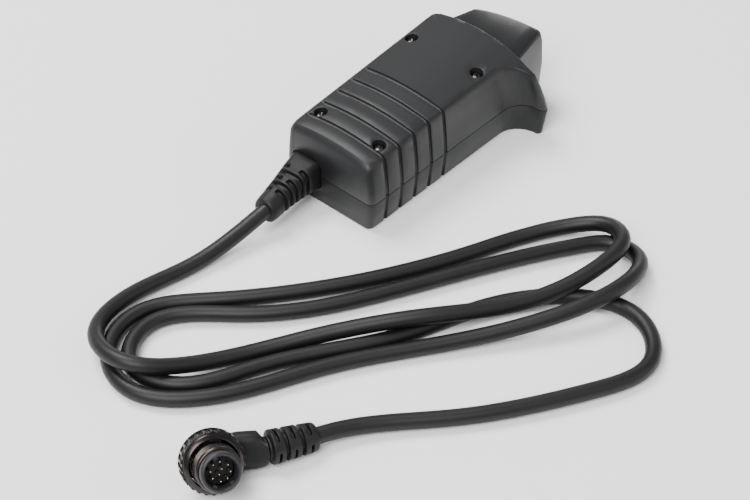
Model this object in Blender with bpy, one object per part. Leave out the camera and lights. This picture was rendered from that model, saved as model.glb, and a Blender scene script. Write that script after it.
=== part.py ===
"""Cable shutter release: a two-shell hand grip with an end trigger, a free cord and a right-angle
locking plug with ten contacts.

The dimensions are in millimetres and are turned into metres where a mesh is made. +Y runs along the
grip from the cord to the trigger, +Z points away from the surface that the object lies on. The world
origin is under the middle of the grip, so everything hangs on one empty that makes that shift.
"""

import math

import bmesh
import bpy
import numpy as np
from mathutils import Matrix, Vector

MM = 0.001
GAP = 0.3  # left between pieces that touch

# Grip
GRIP_LENGTH = 52.5
HALF_WIDTH_CABLE = 13.6  # at the parting line, at the cord end
HALF_WIDTH_HEAD = 14.1  # at the parting line, at the trigger end
CABLE_FACE_Y = -0.5
PARTING_Z = 8.2
EDGE_HEIGHT_CABLE = 18.8  # of the top's long edges
EDGE_HEIGHT_HEAD = 21.8
CROWN = 1.3  # how far the top's middle stands above its long edges
CROWN_HALF_WIDTH = 12.5
REFERENCE_TOP = 20.0  # the outlines are stacked to this height, then bent to the crown
HEAD_FACE_Y = 56.9
HEAD_ARC_RADIUS = 107.0
NECK_CENTRE = (19.9, 47.0)  # the finger neck's concave arc
NECK_RADIUS = 5.9
BEAK_TIP_X = 20.3
CORNER_RADIUS = 1.5
WALL = 1.7
CROWN_STRIP = 3.0

# Grooves across the grip
GROOVE_FIRST_Y = 4.9
GROOVE_PITCH = 5.15
GROOVE_COUNT = 5
GROOVE_RADIUS = 0.6

# Housing screws: x, y
SCREW_SPOTS = ((-9.1, 7.05), (9.1, 7.05), (-10.2, 40.7), (10.2, 40.7))
SCREW_HEAD_RADIUS = 1.4
SCREW_SHANK_RADIUS = 0.9
COUNTERBORE_RADIUS = 1.68
COUNTERBORE_FLOOR = 2.2  # under the top surface
SCREW_HEAD_HEIGHT = 0.9
BOSS_RADIUS = 2.2
LOWER_BOSS_TOP = 7.7
SCREW_TIP_Z = 2.7

# Trigger
TRIGGER_BOTTOM = 2.7
TRIGGER_TOP = 20.0
TRIGGER_TRAVEL = 2.6
TRIGGER_REAR_Y = 51.0
TRIGGER_CLEARANCE = 0.35
PLUNGER = (4.0, 10.5)  # x, z
PLUNGER_RADIUS = 1.3
PLUNGER_TIP_Y = 37.25
SPRING_AXIS = (-4.0, 10.5)  # x, z
SPRING_RADIUS = 2.2
SPRING_WIRE_RADIUS = 0.28
SPRING_TURNS = 5
RIB_Y = 42.0
RIB_THICKNESS = 1.2

# Contact set
BLOCK_LOW = (-10.6, 30.5, 2.0)
BLOCK_HIGH = (-5.0, 38.15, 13.2)
BLOCK_FOOT_X = 1.5
LEAF_ROOT_X = -5.9
LEAF_END_X = 5.4
LEAF_LOW_Z = 8.7
LEAF_HIGH_Z = 12.3
LEAF_THICKNESS = 0.25
COMMON_LEAF_Y = 36.7
HALF_LEAF_Y = 35.45
FULL_LEAF_Y = 32.95
BLOCK_SCREW_SPOTS = ((-1.2, 32.0), (-1.2, 36.6))

# Strain relief at the grip
RELIEF_X = -6.9
RELIEF_ROOT_Z = 8.1
RELIEF_TIP_Z = 6.0
RELIEF_TIP_Y = -16.3
RELIEF_ROOT_WIDTH = 8.6
RELIEF_ROOT_HEIGHT = 8.0
RELIEF_TIP_DIAMETER = 6.4
RELIEF_SHIFT = 1.1  # to the right, from root to tip
RELIEF_FLANGE = (8.0, 9.8)  # inside the wall
RELIEF_HOLE_GAP = 0.3

# Cord: route of its centre line, from the grip's relief to the plug's
CORD_DIAMETER = 3.8
CORD_POINTS = 80
CORD_ROUTE = (
    (-5.8, -17.0, 6.00),
    (-8.6, -37.1, 2.10),
    (-11.6, -54.7, 2.80),
    (-6.3, -69.4, 4.80),
    (5.8, -71.7, 6.60),
    (14.9, -60.0, 3.40),
    (28.1, -37.1, 3.10),
    (44.8, -17.4, 6.00),
    (57.4, 1.4, 4.90),
    (63.9, 21.4, 6.55),
    (62.5, 30.6, 6.61),
    (55.9, 34.0, 4.89),
    (48.6, 30.0, 3.04),
    (35.9, 7.1, 2.00),
    (2.4, -42.8, 2.00),
    (-6.7, -55.8, 1.90),
    (-3.9, -68.1, 1.90),
    (9.0, -73.9, 1.90),
    (21.3, -66.3, 1.90),
    (35.8, -41.0, 2.00),
    (52.1, -16.8, 2.40),
    (64.4, 0.9, 4.60),
    (71.0, 20.6, 5.54),
    (65.3, 32.3, 2.55),
    (59.3, 32.5, 1.94),
    (53.4, 26.6, 1.95),
    (29.3, -16.7, 2.00),
    (10.8, -41.2, 1.90),
    (-2.4, -58.0, 1.90),
    (3.4, -68.4, 1.90),
    (13.8, -67.2, 1.90),
    (25.1, -50.1, 1.90),
    (42.0, -22.4, 1.90),
    (52.6, 1.3, 1.90),
    (79.2, 16.3, 1.90),
    (88.0, 7.4, 1.90),
    (83.9, -7.9, 2.10),
    (65.7, -34.9, 2.10),
    (50.8, -53.8, 2.90),
    (49.0, -57.8, 3.25),
)

# Plug: its ring centre, the heading of its arm and how far its face is tipped up
RING_CENTRE = (40.2, -80.05, 7.05)
ARM_HEADING = 61.5
FACE_TILT = 31.0
RING_RADIUS = 6.95
RING_NOTCHES = 26
RING_BORE = 5.3
SLEEVE_RADIUS = 4.95
SLEEVE_BORE = 4.4
BARREL_RADIUS = 4.38  # of the lip
BARREL_BODY_RADIUS = 4.1
BARREL_BORE = 3.75
BARREL_LIP_BORE = 3.3
THREAD_PITCH = 0.8
PIN_RADIUS = 0.24
PIN_CIRCLE_RADIUS = 2.12
PIN_PATTERN_TURN = 55.0
PIN_TURNS = (27.0, 69.0, 111.0, 153.0)  # each side of the pattern's middle
INNER_PIN_OFFSET = 0.64
NECK = (12.4, -1.15, -3.2)  # where the tail starts, in the plug's frame
TAIL_DIRECTION = (0.9929, -0.0551, -0.1044)
TAIL_LENGTH = 11.1

# The middle of everything but the cord and its plug, seen from above
FOOTPRINT_CENTRE = (3.9153, 24.825)

COLOURS = {
    "shell_black": ((0.035, 0.036, 0.038), 0.55, 0.0),
    "trigger_black": ((0.028, 0.029, 0.031), 0.42, 0.0),
    "soft_black": ((0.022, 0.022, 0.023), 0.6, 0.0),
    "cord_black": ((0.02, 0.02, 0.021), 0.5, 0.0),
    "screw_black": ((0.03, 0.03, 0.03), 0.35, 0.9),
    "spring_steel": ((0.6, 0.6, 0.6), 0.3, 1.0),
    "contact_bronze": ((0.72, 0.5, 0.26), 0.35, 1.0),
    "block_cream": ((0.62, 0.58, 0.48), 0.6, 0.0),
    "wire_red": ((0.5, 0.03, 0.02), 0.5, 0.0),
    "wire_white": ((0.7, 0.7, 0.68), 0.5, 0.0),
    "wire_blue": ((0.03, 0.07, 0.4), 0.5, 0.0),
    "gunmetal": ((0.11, 0.105, 0.11), 0.3, 1.0),
    "barrel_grey": ((0.07, 0.07, 0.075), 0.4, 0.8),
    "insert_black": ((0.012, 0.012, 0.012), 0.5, 0.0),
    "pin_bright": ((0.85, 0.83, 0.78), 0.2, 1.0),
}


# ---------------------------------------------------------------- helpers


def clear_scene():
    """Remove what the file opened with."""
    for obj in list(bpy.data.objects):
        bpy.data.objects.remove(obj, do_unlink=True)


def material(name):
    """The named Principled material, made on first use."""
    if name in bpy.data.materials:
        return bpy.data.materials[name]
    colour, roughness, metallic = COLOURS[name]
    made = bpy.data.materials.new(name)
    made.use_nodes = True
    shader = made.node_tree.nodes["Principled BSDF"]
    shader.inputs["Base Color"].default_value = (*colour, 1.0)
    shader.inputs["Roughness"].default_value = roughness
    shader.inputs["Metallic"].default_value = metallic
    return made


def add_object(name, data, finish, parent):
    """Link a mesh or curve as one named node under the parent empty."""
    obj = bpy.data.objects.new(name, data)
    bpy.context.scene.collection.objects.link(obj)
    obj.parent = parent
    if finish:
        data.materials.append(material(finish))
    return obj


def finish_mesh(name, bm, finish, parent, smooth_angle=None):
    """Turn a bmesh in millimetres into a named object in metres."""
    bmesh.ops.recalc_face_normals(bm, faces=bm.faces)
    bmesh.ops.scale(bm, vec=(MM, MM, MM), verts=bm.verts)
    mesh = bpy.data.meshes.new(name)
    bm.to_mesh(mesh)
    bm.free()
    if smooth_angle:
        mesh.shade_smooth()
        mesh.set_sharp_from_angle(angle=math.radians(smooth_angle))
    return add_object(name, mesh, finish, parent)


def boolean(target, tool, operation="DIFFERENCE"):
    """Cut or join a tool, which then stays out of the model."""
    modifier = target.modifiers.new(tool.name, "BOOLEAN")
    modifier.operation = operation
    modifier.solver = "EXACT"
    modifier.object = tool
    tool.hide_render = True
    tool.display_type = "WIRE"


def spread(start, end, count):
    """Count values from start to end, both included."""
    return [start + (end - start) * i / (count - 1) for i in range(count)]


def arc(centre, radius_x, radius_y, start, end, count):
    """Points on an ellipse between two angles in degrees."""
    return [
        (
            centre[0] + radius_x * math.cos(math.radians(a)),
            centre[1] + radius_y * math.sin(math.radians(a)),
        )
        for a in spread(start, end, count)
    ]


def loft(loops, ring=False):
    """A closed solid through loops of equal length; a ring also joins its last loop to its first."""
    bm = bmesh.new()
    rows = [[bm.verts.new(point) for point in loop] for loop in loops]
    count = len(rows[0])
    pairs = list(zip(rows, rows[1:]))
    if ring:
        pairs.append((rows[-1], rows[0]))
    else:
        bm.faces.new(list(reversed(rows[0])))
        bm.faces.new(rows[-1])
    for low, high in pairs:
        for i in range(count):
            j = (i + 1) % count
            bm.faces.new((low[i], low[j], high[j], high[i]))
    return bm


def box(low, high):
    """A box between two corners."""
    corners = [(low[0], low[1]), (high[0], low[1]), (high[0], high[1]), (low[0], high[1])]
    return loft([[(x, y, z) for x, y in corners] for z in (low[2], high[2])])


def post(x, y, low, high, radius, sides=20):
    """An upright cylinder."""
    circle = arc((x, y), radius, radius, 0, 360 - 360 / sides, sides)
    return loft([[(px, py, z) for px, py in circle] for z in (low, high)])


def rod_y(x, z, low, high, radius, sides=20):
    """A cylinder along Y."""
    circle = arc((x, z), radius, radius, 0, 360 - 360 / sides, sides)
    return loft([[(px, y, pz) for px, pz in circle] for y in (low, high)])


def turned(profile, sides=32):
    """Points of (height, radius) turned round Z: open at the axis is closed by caps, else a ring."""
    loops = [
        [(x, y, height) for x, y in arc((0, 0), radius, radius, 0, 360 - 360 / sides, sides)]
        for height, radius in profile
    ]
    return loops


def rounded_rectangle(width, height, radius, steps=4):
    """Outline of a rectangle with round corners, about the origin."""
    x = width / 2 - radius
    y = height / 2 - radius
    points = []
    for centre, start in (((x, y), 0), ((-x, y), 90), ((-x, -y), 180), ((x, -y), 270)):
        points += arc(centre, radius, radius, start, start + 90, steps)
    return points


def smooth_curve(points, count):
    """Evenly spaced points on the natural cubic spline through the given ones."""
    points = np.array(points, float)
    knots = np.concatenate([[0], np.cumsum(np.linalg.norm(np.diff(points, axis=0), axis=1))])
    step = np.diff(knots)
    size = len(knots)
    left = np.eye(size)
    right = np.zeros((size, 3))
    for i in range(1, size - 1):
        left[i, i - 1 : i + 2] = step[i - 1], 2 * (step[i - 1] + step[i]), step[i]
        rise = (points[i + 1] - points[i]) / step[i] - (points[i] - points[i - 1]) / step[i - 1]
        right[i] = 6 * rise
    bend = np.linalg.solve(left, right)

    def at(places):
        span = np.clip(np.searchsorted(knots, places, side="right") - 1, 0, size - 2)
        length = step[span][:, None]
        a = (knots[span + 1][:, None] - places[:, None]) / length
        b = 1 - a
        curve = a * points[span] + b * points[span + 1]
        curve += ((a**3 - a) * bend[span] + (b**3 - b) * bend[span + 1]) * length**2 / 6
        return curve

    fine = np.linspace(0, knots[-1], 40 * size)
    run = np.concatenate([[0], np.cumsum(np.linalg.norm(np.diff(at(fine), axis=0), axis=1))])
    return at(np.interp(np.linspace(0, run[-1], count), run, fine))


def sweep(name, route, radius, parent, sides=10):
    """A round bar along a route that stays in one upright plane across the grip."""
    loops = []
    for i, point in enumerate(route):
        before = Vector(route[max(i - 1, 0)])
        after = Vector(route[min(i + 1, len(route) - 1)])
        forward = (after - before).normalized()
        side = Vector((0, 1, 0))
        up = forward.cross(side).normalized()
        circle = arc((0, 0), radius, radius, 0, 360 - 360 / sides, sides)
        loops.append([Vector(point) + side * u + up * v for u, v in circle])
    return finish_mesh(name, loft(loops), None, parent)


def tube(name, points, radius, finish, parent, resolution=2):
    """A round tube along points in millimetres, with closed ends."""
    curve = bpy.data.curves.new(name, "CURVE")
    curve.dimensions = "3D"
    curve.bevel_depth = radius * MM
    curve.bevel_resolution = resolution
    curve.use_fill_caps = True
    spline = curve.splines.new("POLY")
    spline.points.add(len(points) - 1)
    for place, point in zip(spline.points, points):
        place.co = (*(Vector(point) * MM), 1.0)
    return add_object(name, curve, finish, parent)


# ---------------------------------------------------------------- grip shells


def edge_height(y):
    """Height of the top's long edges at y."""
    return EDGE_HEIGHT_CABLE + (EDGE_HEIGHT_HEAD - EDGE_HEIGHT_CABLE) * y / GRIP_LENGTH


def top_height(x, y):
    """Height of the crowned top."""
    return edge_height(y) + CROWN * (1 - (x / CROWN_HALF_WIDTH) ** 2)


def half_width(y):
    """Half the grip's width at the parting line."""
    return HALF_WIDTH_CABLE + (HALF_WIDTH_HEAD - HALF_WIDTH_CABLE) * y / GRIP_LENGTH


def head_y(x):
    """The trigger end's bowed face."""
    return HEAD_FACE_Y - x * x / (2 * HEAD_ARC_RADIUS)


def grip_outline(inset, lean, cable_y):
    """Plan of the grip with its neck and beak, counterclockwise from the cord end's left corner."""
    r = CORNER_RADIUS
    cable = half_width(0) - inset
    head = half_width(GRIP_LENGTH) - inset
    points = arc((-cable + r, cable_y + r), r, r, 180, 270, 4)
    points += arc((cable - r, cable_y + r), r, r, 270, 360, 4)
    neck = (NECK_CENTRE[0], NECK_CENTRE[1] + lean)
    reach_x = neck[0] - half_width(neck[1]) + inset
    reach_y = NECK_RADIUS + 0.35 * inset
    points += arc(neck, reach_x, reach_y, 180, 90, 8)
    tip_x = BEAK_TIP_X - 1.2 * inset
    face = head_y(tip_x) + lean - 0.5 * inset
    tip_radius = (face - neck[1] - reach_y) / 2
    points += arc((tip_x + 0.6, face - tip_radius), tip_radius, tip_radius, -80, 80, 5)
    points += [(x, head_y(x) + lean - 0.5 * inset) for x in spread(tip_x - 1, -head + r, 9)]
    points += arc((-head + r, head_y(head) + lean - 0.5 * inset - r), r, r, 85, 180, 4)
    return points


def cavity_outline(inset, lean):
    """Plan of the hollow inside the shells."""
    r = 1.2
    cable = half_width(0) - inset
    head = half_width(GRIP_LENGTH) - inset
    low = CABLE_FACE_Y + WALL
    high = head_y(head) + lean - WALL
    points = arc((-cable + r, low + r), r, r, 180, 270, 3)
    points += arc((cable - r, low + r), r, r, 270, 360, 3)
    points += arc((head - r, high - r), r, r, 0, 90, 3)
    points += arc((-head + r, high - r), r, r, 90, 180, 3)
    return points


# height share above the parting line, inset, lean of the head, cord-end face
UPPER_LEVELS = (
    (0.0, 0.0, 0.0, CABLE_FACE_Y),
    (0.35, 0.25, -1.0, CABLE_FACE_Y),
    (0.7, 0.65, -2.2, CABLE_FACE_Y),
    (0.86, 0.9, -2.8, CABLE_FACE_Y),
    (0.93, 1.05, -3.05, CABLE_FACE_Y + 0.6),
    (0.98, 1.3, -3.2, CABLE_FACE_Y + 1.1),
    (1.0, 1.85, -3.3, CABLE_FACE_Y + 1.5),
)
# height, inset, cord-end face
LOWER_LEVELS = (
    (0.0, 1.4, CABLE_FACE_Y + 0.6),
    (0.2, 1.05, CABLE_FACE_Y + 0.25),
    (0.6, 0.85, CABLE_FACE_Y + 0.1),
    (4.5, 0.4, CABLE_FACE_Y),
)


def bend_to_crown(bm, drop):
    """Move the points above the parting line so that the reference top becomes the crowned one."""
    for x in spread(-12.1, 18.1, 11):
        bmesh.ops.bisect_plane(
            bm,
            geom=bm.verts[:] + bm.edges[:] + bm.faces[:],
            plane_co=(x, 0, 0),
            plane_no=(1, 0, 0),
            dist=1e-5,
        )
    for vert in bm.verts:
        if vert.co.z > PARTING_Z:
            share = (vert.co.z - PARTING_Z) / (REFERENCE_TOP - PARTING_Z)
            rise = top_height(vert.co.x, vert.co.y) - drop - PARTING_Z
            vert.co.z = PARTING_Z + share * rise


def grip_body(name, parent):
    """The whole grip as one solid block, before it is hollowed and split."""
    loops = []
    for z, inset, cable_y in LOWER_LEVELS:
        loops.append([(x, y, z) for x, y in grip_outline(inset, 0.0, cable_y)])
    for share, inset, lean, cable_y in UPPER_LEVELS:
        z = PARTING_Z + share * (REFERENCE_TOP - PARTING_Z)
        loops.append([(x, y, z) for x, y in grip_outline(inset, lean, cable_y)])
    bm = loft(loops)
    bend_to_crown(bm, 0.0)
    return finish_mesh(name, bm, "shell_black", parent, smooth_angle=35)


def grip_cavity(parent):
    """The hollow inside both shells."""
    levels = (
        (WALL, 1.1, 0.0),
        (4.0, 0.5, 0.0),
        (PARTING_Z, 0.0, 0.0),
        (14.0, 0.3, -1.6),
        (REFERENCE_TOP, 1.0, -3.3),
    )
    loops = [
        [(x, y, z) for x, y in cavity_outline(inset + WALL, lean)] for z, inset, lean in levels
    ]
    bm = loft(loops)
    bend_to_crown(bm, WALL + 0.1)
    return finish_mesh("cavity_cutter", bm, None, parent)


def groove_cutter(shell_name, index, parent):
    """A bar that runs over the crowned top, round its right edge and down the side."""
    y = GROOVE_FIRST_Y + index * GROOVE_PITCH
    edge = half_width(y)
    top = [(x, y, top_height(x, y)) for x in spread(-edge + 2.6, edge - 2.6, 7)]
    start = (-edge + 1.9, y - 0.3, top_height(-edge + 1.9, y) + 0.5)
    corner = [(edge - 1.3, y, edge_height(y) - 0.45), (edge - 1.0, y, edge_height(y) - 1.4)]
    side = [(edge - 0.45, y, 13.5), (edge, y, PARTING_Z), (edge - 0.45, y, 4.0)]
    foot = [(edge - 1.0, y, 0.8), (edge - 1.4, y, -0.6)]
    route = [start] + top + corner + side + foot
    return sweep(f"{shell_name}_groove_cutter_{index + 1}", route, GROOVE_RADIUS, parent)


def relief_hole(parent):
    """The opening for the strain relief, through the cord-end wall."""
    outline = rounded_rectangle(
        RELIEF_ROOT_WIDTH + 2 * RELIEF_HOLE_GAP, RELIEF_ROOT_HEIGHT + 2 * RELIEF_HOLE_GAP, 2.0
    )
    loops = [
        [(RELIEF_X + x, y, RELIEF_ROOT_Z + z) for x, z in outline] for y in (-4.0, WALL + 1)
    ]
    return finish_mesh("relief_hole_cutter", loft(loops), None, parent)


def shell(name, parent, lower):
    """One half of the housing with its bosses, holes and openings."""
    body = grip_body(name, parent)
    boolean(body, grip_cavity(parent))
    for index, (x, y) in enumerate(SCREW_SPOTS):
        surface = top_height(x, y)
        floor = surface - COUNTERBORE_FLOOR
        if lower:
            boss = post(x, y, WALL - 0.7, LOWER_BOSS_TOP, BOSS_RADIUS)
        else:
            boss = post(x, y, PARTING_Z + 0.6, surface - 1.0, BOSS_RADIUS)
        boolean(body, finish_mesh(f"{name}_boss_{index}", boss, None, parent), "UNION")
        hole = post(x, y, SCREW_TIP_Z - 0.4, 30, SCREW_SHANK_RADIUS + GAP)
        boolean(body, finish_mesh(f"{name}_hole_{index}", hole, None, parent))
        if not lower:
            counterbore = post(x, y, floor, 30, COUNTERBORE_RADIUS, 24)
            boolean(body, finish_mesh(f"{name}_bore_{index}", counterbore, None, parent))
    if lower:
        rib = box((-8.5, RIB_Y, WALL - 0.6), (8.5, RIB_Y + RIB_THICKNESS, 12.6))
        boolean(body, finish_mesh("rib_tool", rib, None, parent), "UNION")
        notch = box(
            (PLUNGER[0] - 1.7, RIB_Y - 1, PLUNGER[1] - 1.7), (PLUNGER[0] + 1.7, RIB_Y + 3, 20)
        )
        boolean(body, finish_mesh("notch_tool", notch, None, parent))
        for index, (x, y) in enumerate(BLOCK_SCREW_SPOTS):
            pad = post(x, y, WALL - 0.7, 4.0, 1.7)
            boolean(body, finish_mesh(f"pad_tool_{index}", pad, None, parent), "UNION")
            pilot = post(x, y, 0.9, 9.0, 0.9, 16)
            boolean(body, finish_mesh(f"pilot_tool_{index}", pilot, None, parent))
    boolean(body, relief_hole(parent))
    boolean(body, trigger_opening(parent, name))
    for index in range(GROOVE_COUNT):
        boolean(body, groove_cutter(name, index, parent))
    half = GAP / 2
    if lower:
        away = box((-40, -40, PARTING_Z - half), (40, 90, 60))
    else:
        away = box((-40, -40, -10), (40, 90, PARTING_Z + half))
    boolean(body, finish_mesh(f"{name}_split_tool", away, None, parent))
    return body


def housing_screw(index, parent):
    """A cross-head screw from the top face into the lower shell."""
    x, y = SCREW_SPOTS[index]
    seat = top_height(x, y) - COUNTERBORE_FLOOR + GAP
    sides = 20
    profile = (
        (SCREW_TIP_Z, 0.35),
        (SCREW_TIP_Z + 0.8, SCREW_SHANK_RADIUS),
        (seat, SCREW_SHANK_RADIUS),
        (seat, SCREW_HEAD_RADIUS),
        (seat + SCREW_HEAD_HEIGHT * 0.6, SCREW_HEAD_RADIUS),
        (seat + SCREW_HEAD_HEIGHT, SCREW_HEAD_RADIUS * 0.7),
    )
    loops = [
        [(px + x, py + y, z) for px, py, z in loop] for loop in turned(profile, sides)
    ]
    screw = finish_mesh(f"housing_screw_{index + 1}", loft(loops), "screw_black", parent, 35)
    top = seat + SCREW_HEAD_HEIGHT
    for turn, (half_x, half_y) in enumerate(((0.75, 0.17), (0.17, 0.75))):
        slot = box((x - half_x, y - half_y, top - 0.55), (x + half_x, y + half_y, top + 1))
        boolean(screw, finish_mesh(f"cross_tool_{index}_{turn}", slot, None, parent))
    return screw


# ---------------------------------------------------------------- trigger and contacts

# height, inset of the outline, how far its right side leans out
TRIGGER_LEVELS = (
    (TRIGGER_BOTTOM, 1.1, 0.0),
    (TRIGGER_BOTTOM + 0.5, 0.4, 0.1),
    (TRIGGER_BOTTOM + 2.0, 0.1, 0.4),
    (11.0, 0.0, 0.7),
    (17.5, 0.0, 0.3),
    (TRIGGER_TOP - 0.9, 0.15, 0.1),
    (TRIGGER_TOP - 0.25, 0.55, 0.0),
    (TRIGGER_TOP, 1.2, 0.0),
)


def trigger_outline(inset, flare, grow, rear, shoulder):
    """Plan of the trigger: it narrows outwards and its far edge is skewed and slightly bowed."""
    lean_in = 0.26 * (rear - TRIGGER_REAR_Y)
    lean_out = 0.21 * (54.0 - shoulder)
    left_base = (-11.2 + lean_in + inset - grow, rear)
    left_far = (-8.3 + inset - grow, 62.7 - inset + grow)
    right_far = (10.5 + flare - inset + grow, 66.0 - inset + grow)
    shoulder_point = (12.9 + lean_out - inset + grow, shoulder)
    rear_right = (11.4 + lean_out - inset + grow, rear)
    bow = [
        (
            left_far[0] + (right_far[0] - left_far[0]) * t,
            left_far[1] + (right_far[1] - left_far[1]) * t + 0.9 * math.sin(math.pi * t),
        )
        for t in (0.85, 0.68, 0.5, 0.32, 0.15)
    ]
    right_corner = [
        (right_far[0] + 0.32, right_far[1] - 1.9),
        (right_far[0] + 0.1, right_far[1] - 0.8),
        (right_far[0] - 0.7, right_far[1] - 0.05),
    ]
    left_corner = [
        (left_far[0] + 0.9, left_far[1] + 0.1),
        (left_far[0] + 0.05, left_far[1] - 0.6),
        (left_far[0] - 0.35, left_far[1] - 1.9),
    ]
    return [left_base, rear_right, shoulder_point] + right_corner + bow + left_corner


def trigger_loops(grow, rear, shoulder):
    """The trigger's outlines by height, grown all round by the given clearance."""
    loops = []
    last = len(TRIGGER_LEVELS) - 1
    for index, (z, inset, flare) in enumerate(TRIGGER_LEVELS):
        height = z + (grow if index == last else -grow if index == 0 else 0)
        outline = trigger_outline(inset if grow == 0 else inset * 0.6, flare, grow, rear, shoulder)
        loops.append([(x, y, height) for x, y in outline])
    return loops


def trigger_opening(parent, name):
    """The opening that the trigger slides in, long enough for its full travel."""
    inner = TRIGGER_REAR_Y - TRIGGER_TRAVEL - 0.4
    loops = trigger_loops(TRIGGER_CLEARANCE, inner, 54.0 - TRIGGER_TRAVEL - 0.2)
    return finish_mesh(f"{name}_trigger_opening", loft(loops), None, parent)


def trigger_button(parent):
    """The end button with the plunger that works the contacts and a stub inside the spring."""
    button = finish_mesh(
        "trigger_button",
        loft(trigger_loops(0.0, TRIGGER_REAR_Y, 54.0)),
        "trigger_black",
        parent,
        35,
    )
    x, z = PLUNGER
    plunger = rod_y(x, z, PLUNGER_TIP_Y, TRIGGER_REAR_Y + 1, PLUNGER_RADIUS, 16)
    boolean(button, finish_mesh("plunger_tool", plunger, None, parent), "UNION")
    x, z = SPRING_AXIS
    stub = rod_y(x, z, TRIGGER_REAR_Y - 2.5, TRIGGER_REAR_Y + 1, SPRING_RADIUS - 0.75, 16)
    boolean(button, finish_mesh("stub_tool", stub, None, parent), "UNION")
    return button


def trigger_spring(parent):
    """The coil spring that returns the trigger, between the rib and the trigger's back."""
    start = RIB_Y + RIB_THICKNESS + GAP + SPRING_WIRE_RADIUS
    end = TRIGGER_REAR_Y - GAP - SPRING_WIRE_RADIUS
    steps = 12 * SPRING_TURNS
    points = []
    for i in range(steps + 1):
        angle = 2 * math.pi * i / 12
        y = start + (end - start) * i / steps
        x = SPRING_AXIS[0] + SPRING_RADIUS * math.cos(angle)
        z = SPRING_AXIS[1] + SPRING_RADIUS * math.sin(angle)
        points.append((x, y, z))
    return tube("trigger_spring", points, SPRING_WIRE_RADIUS, "spring_steel", parent, 1)


def contact_block(parent):
    """The moulded block that holds the three leaves, with a foot for its two screws."""
    block = finish_mesh("contact_block", box(BLOCK_LOW, BLOCK_HIGH), "block_cream", parent)
    foot = box(
        (BLOCK_HIGH[0] - 1, BLOCK_LOW[1], 4.3), (BLOCK_FOOT_X, BLOCK_HIGH[1], 5.8)
    )
    boolean(block, finish_mesh("foot_tool", foot, None, parent), "UNION")
    moving = box(
        (LEAF_ROOT_X - GAP, HALF_LEAF_Y - 0.9, LEAF_LOW_Z - GAP),
        (0, COMMON_LEAF_Y + 0.9, 20),
    )
    boolean(block, finish_mesh("moving_slot_tool", moving, None, parent))
    fixed = box(
        (LEAF_ROOT_X - 1.5 - GAP, FULL_LEAF_Y - 0.45, LEAF_LOW_Z - GAP),
        (0, FULL_LEAF_Y + 0.45, 20),
    )
    boolean(block, finish_mesh("fixed_slot_tool", fixed, None, parent))
    for index, (x, y) in enumerate(BLOCK_SCREW_SPOTS):
        hole = post(x, y, 3, 8, 1.0, 16)
        boolean(block, finish_mesh(f"foot_hole_{index}", hole, None, parent))
    return block


def leaf(name, y, root, end, parent):
    """A flat contact leaf standing across the grip."""
    half = LEAF_THICKNESS / 2
    strip = box((root, y - half, LEAF_LOW_Z), (end, y + half, LEAF_HIGH_Z))
    return finish_mesh(name, strip, "contact_bronze", parent)


def contact_leaves(parent):
    """The common, half-press and full-press leaves."""
    leaf("common_leaf", COMMON_LEAF_Y, LEAF_ROOT_X, LEAF_END_X, parent)
    leaf("half_press_leaf", HALF_LEAF_Y, LEAF_ROOT_X, LEAF_END_X, parent)
    leaf("full_press_leaf", FULL_LEAF_Y, LEAF_ROOT_X - 1.5, LEAF_END_X, parent)


def block_screw(index, parent):
    """A small screw that holds the contact block to the lower shell."""
    x, y = BLOCK_SCREW_SPOTS[index]
    profile = ((1.3, 0.3), (1.8, 0.6), (6.1, 0.6), (6.1, 1.25), (6.6, 1.25), (6.9, 0.8))
    loops = [[(px + x, py + y, z) for px, py, z in loop] for loop in turned(profile, 16)]
    return finish_mesh(f"block_screw_{index + 1}", loft(loops), "screw_black", parent, 35)


def inner_wires(parent):
    """Three conductors from the strain relief to the contact block."""
    starts = ((-7.3, 8.7), (-5.9, 9.9), (-4.9, 8.3))
    ends = ((-9.4, 9.5), (-7.9, 10.7), (-6.4, 9.3))
    finishes = ("wire_red", "wire_white", "wire_blue")
    for index, (start, end, finish) in enumerate(zip(starts, ends, finishes)):
        aside = -4.9 + 1.3 * index
        route = (
            (start[0], 3.3, start[1]),
            (start[0], 4.2, start[1]),
            (aside, 7.5, start[1] - 1.0),
            (aside + 1.0, 14.0, 6.5 + index),
            (aside - 0.5, 21.0, 6.2 + index),
            (end[0], 27.5, end[1]),
            (end[0], BLOCK_LOW[1] - GAP, end[1]),
        )
        tube(f"inner_wire_{index + 1}", smooth_curve(route, 22), 0.45, finish, parent, 1)


# ---------------------------------------------------------------- cord and strain reliefs


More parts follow.
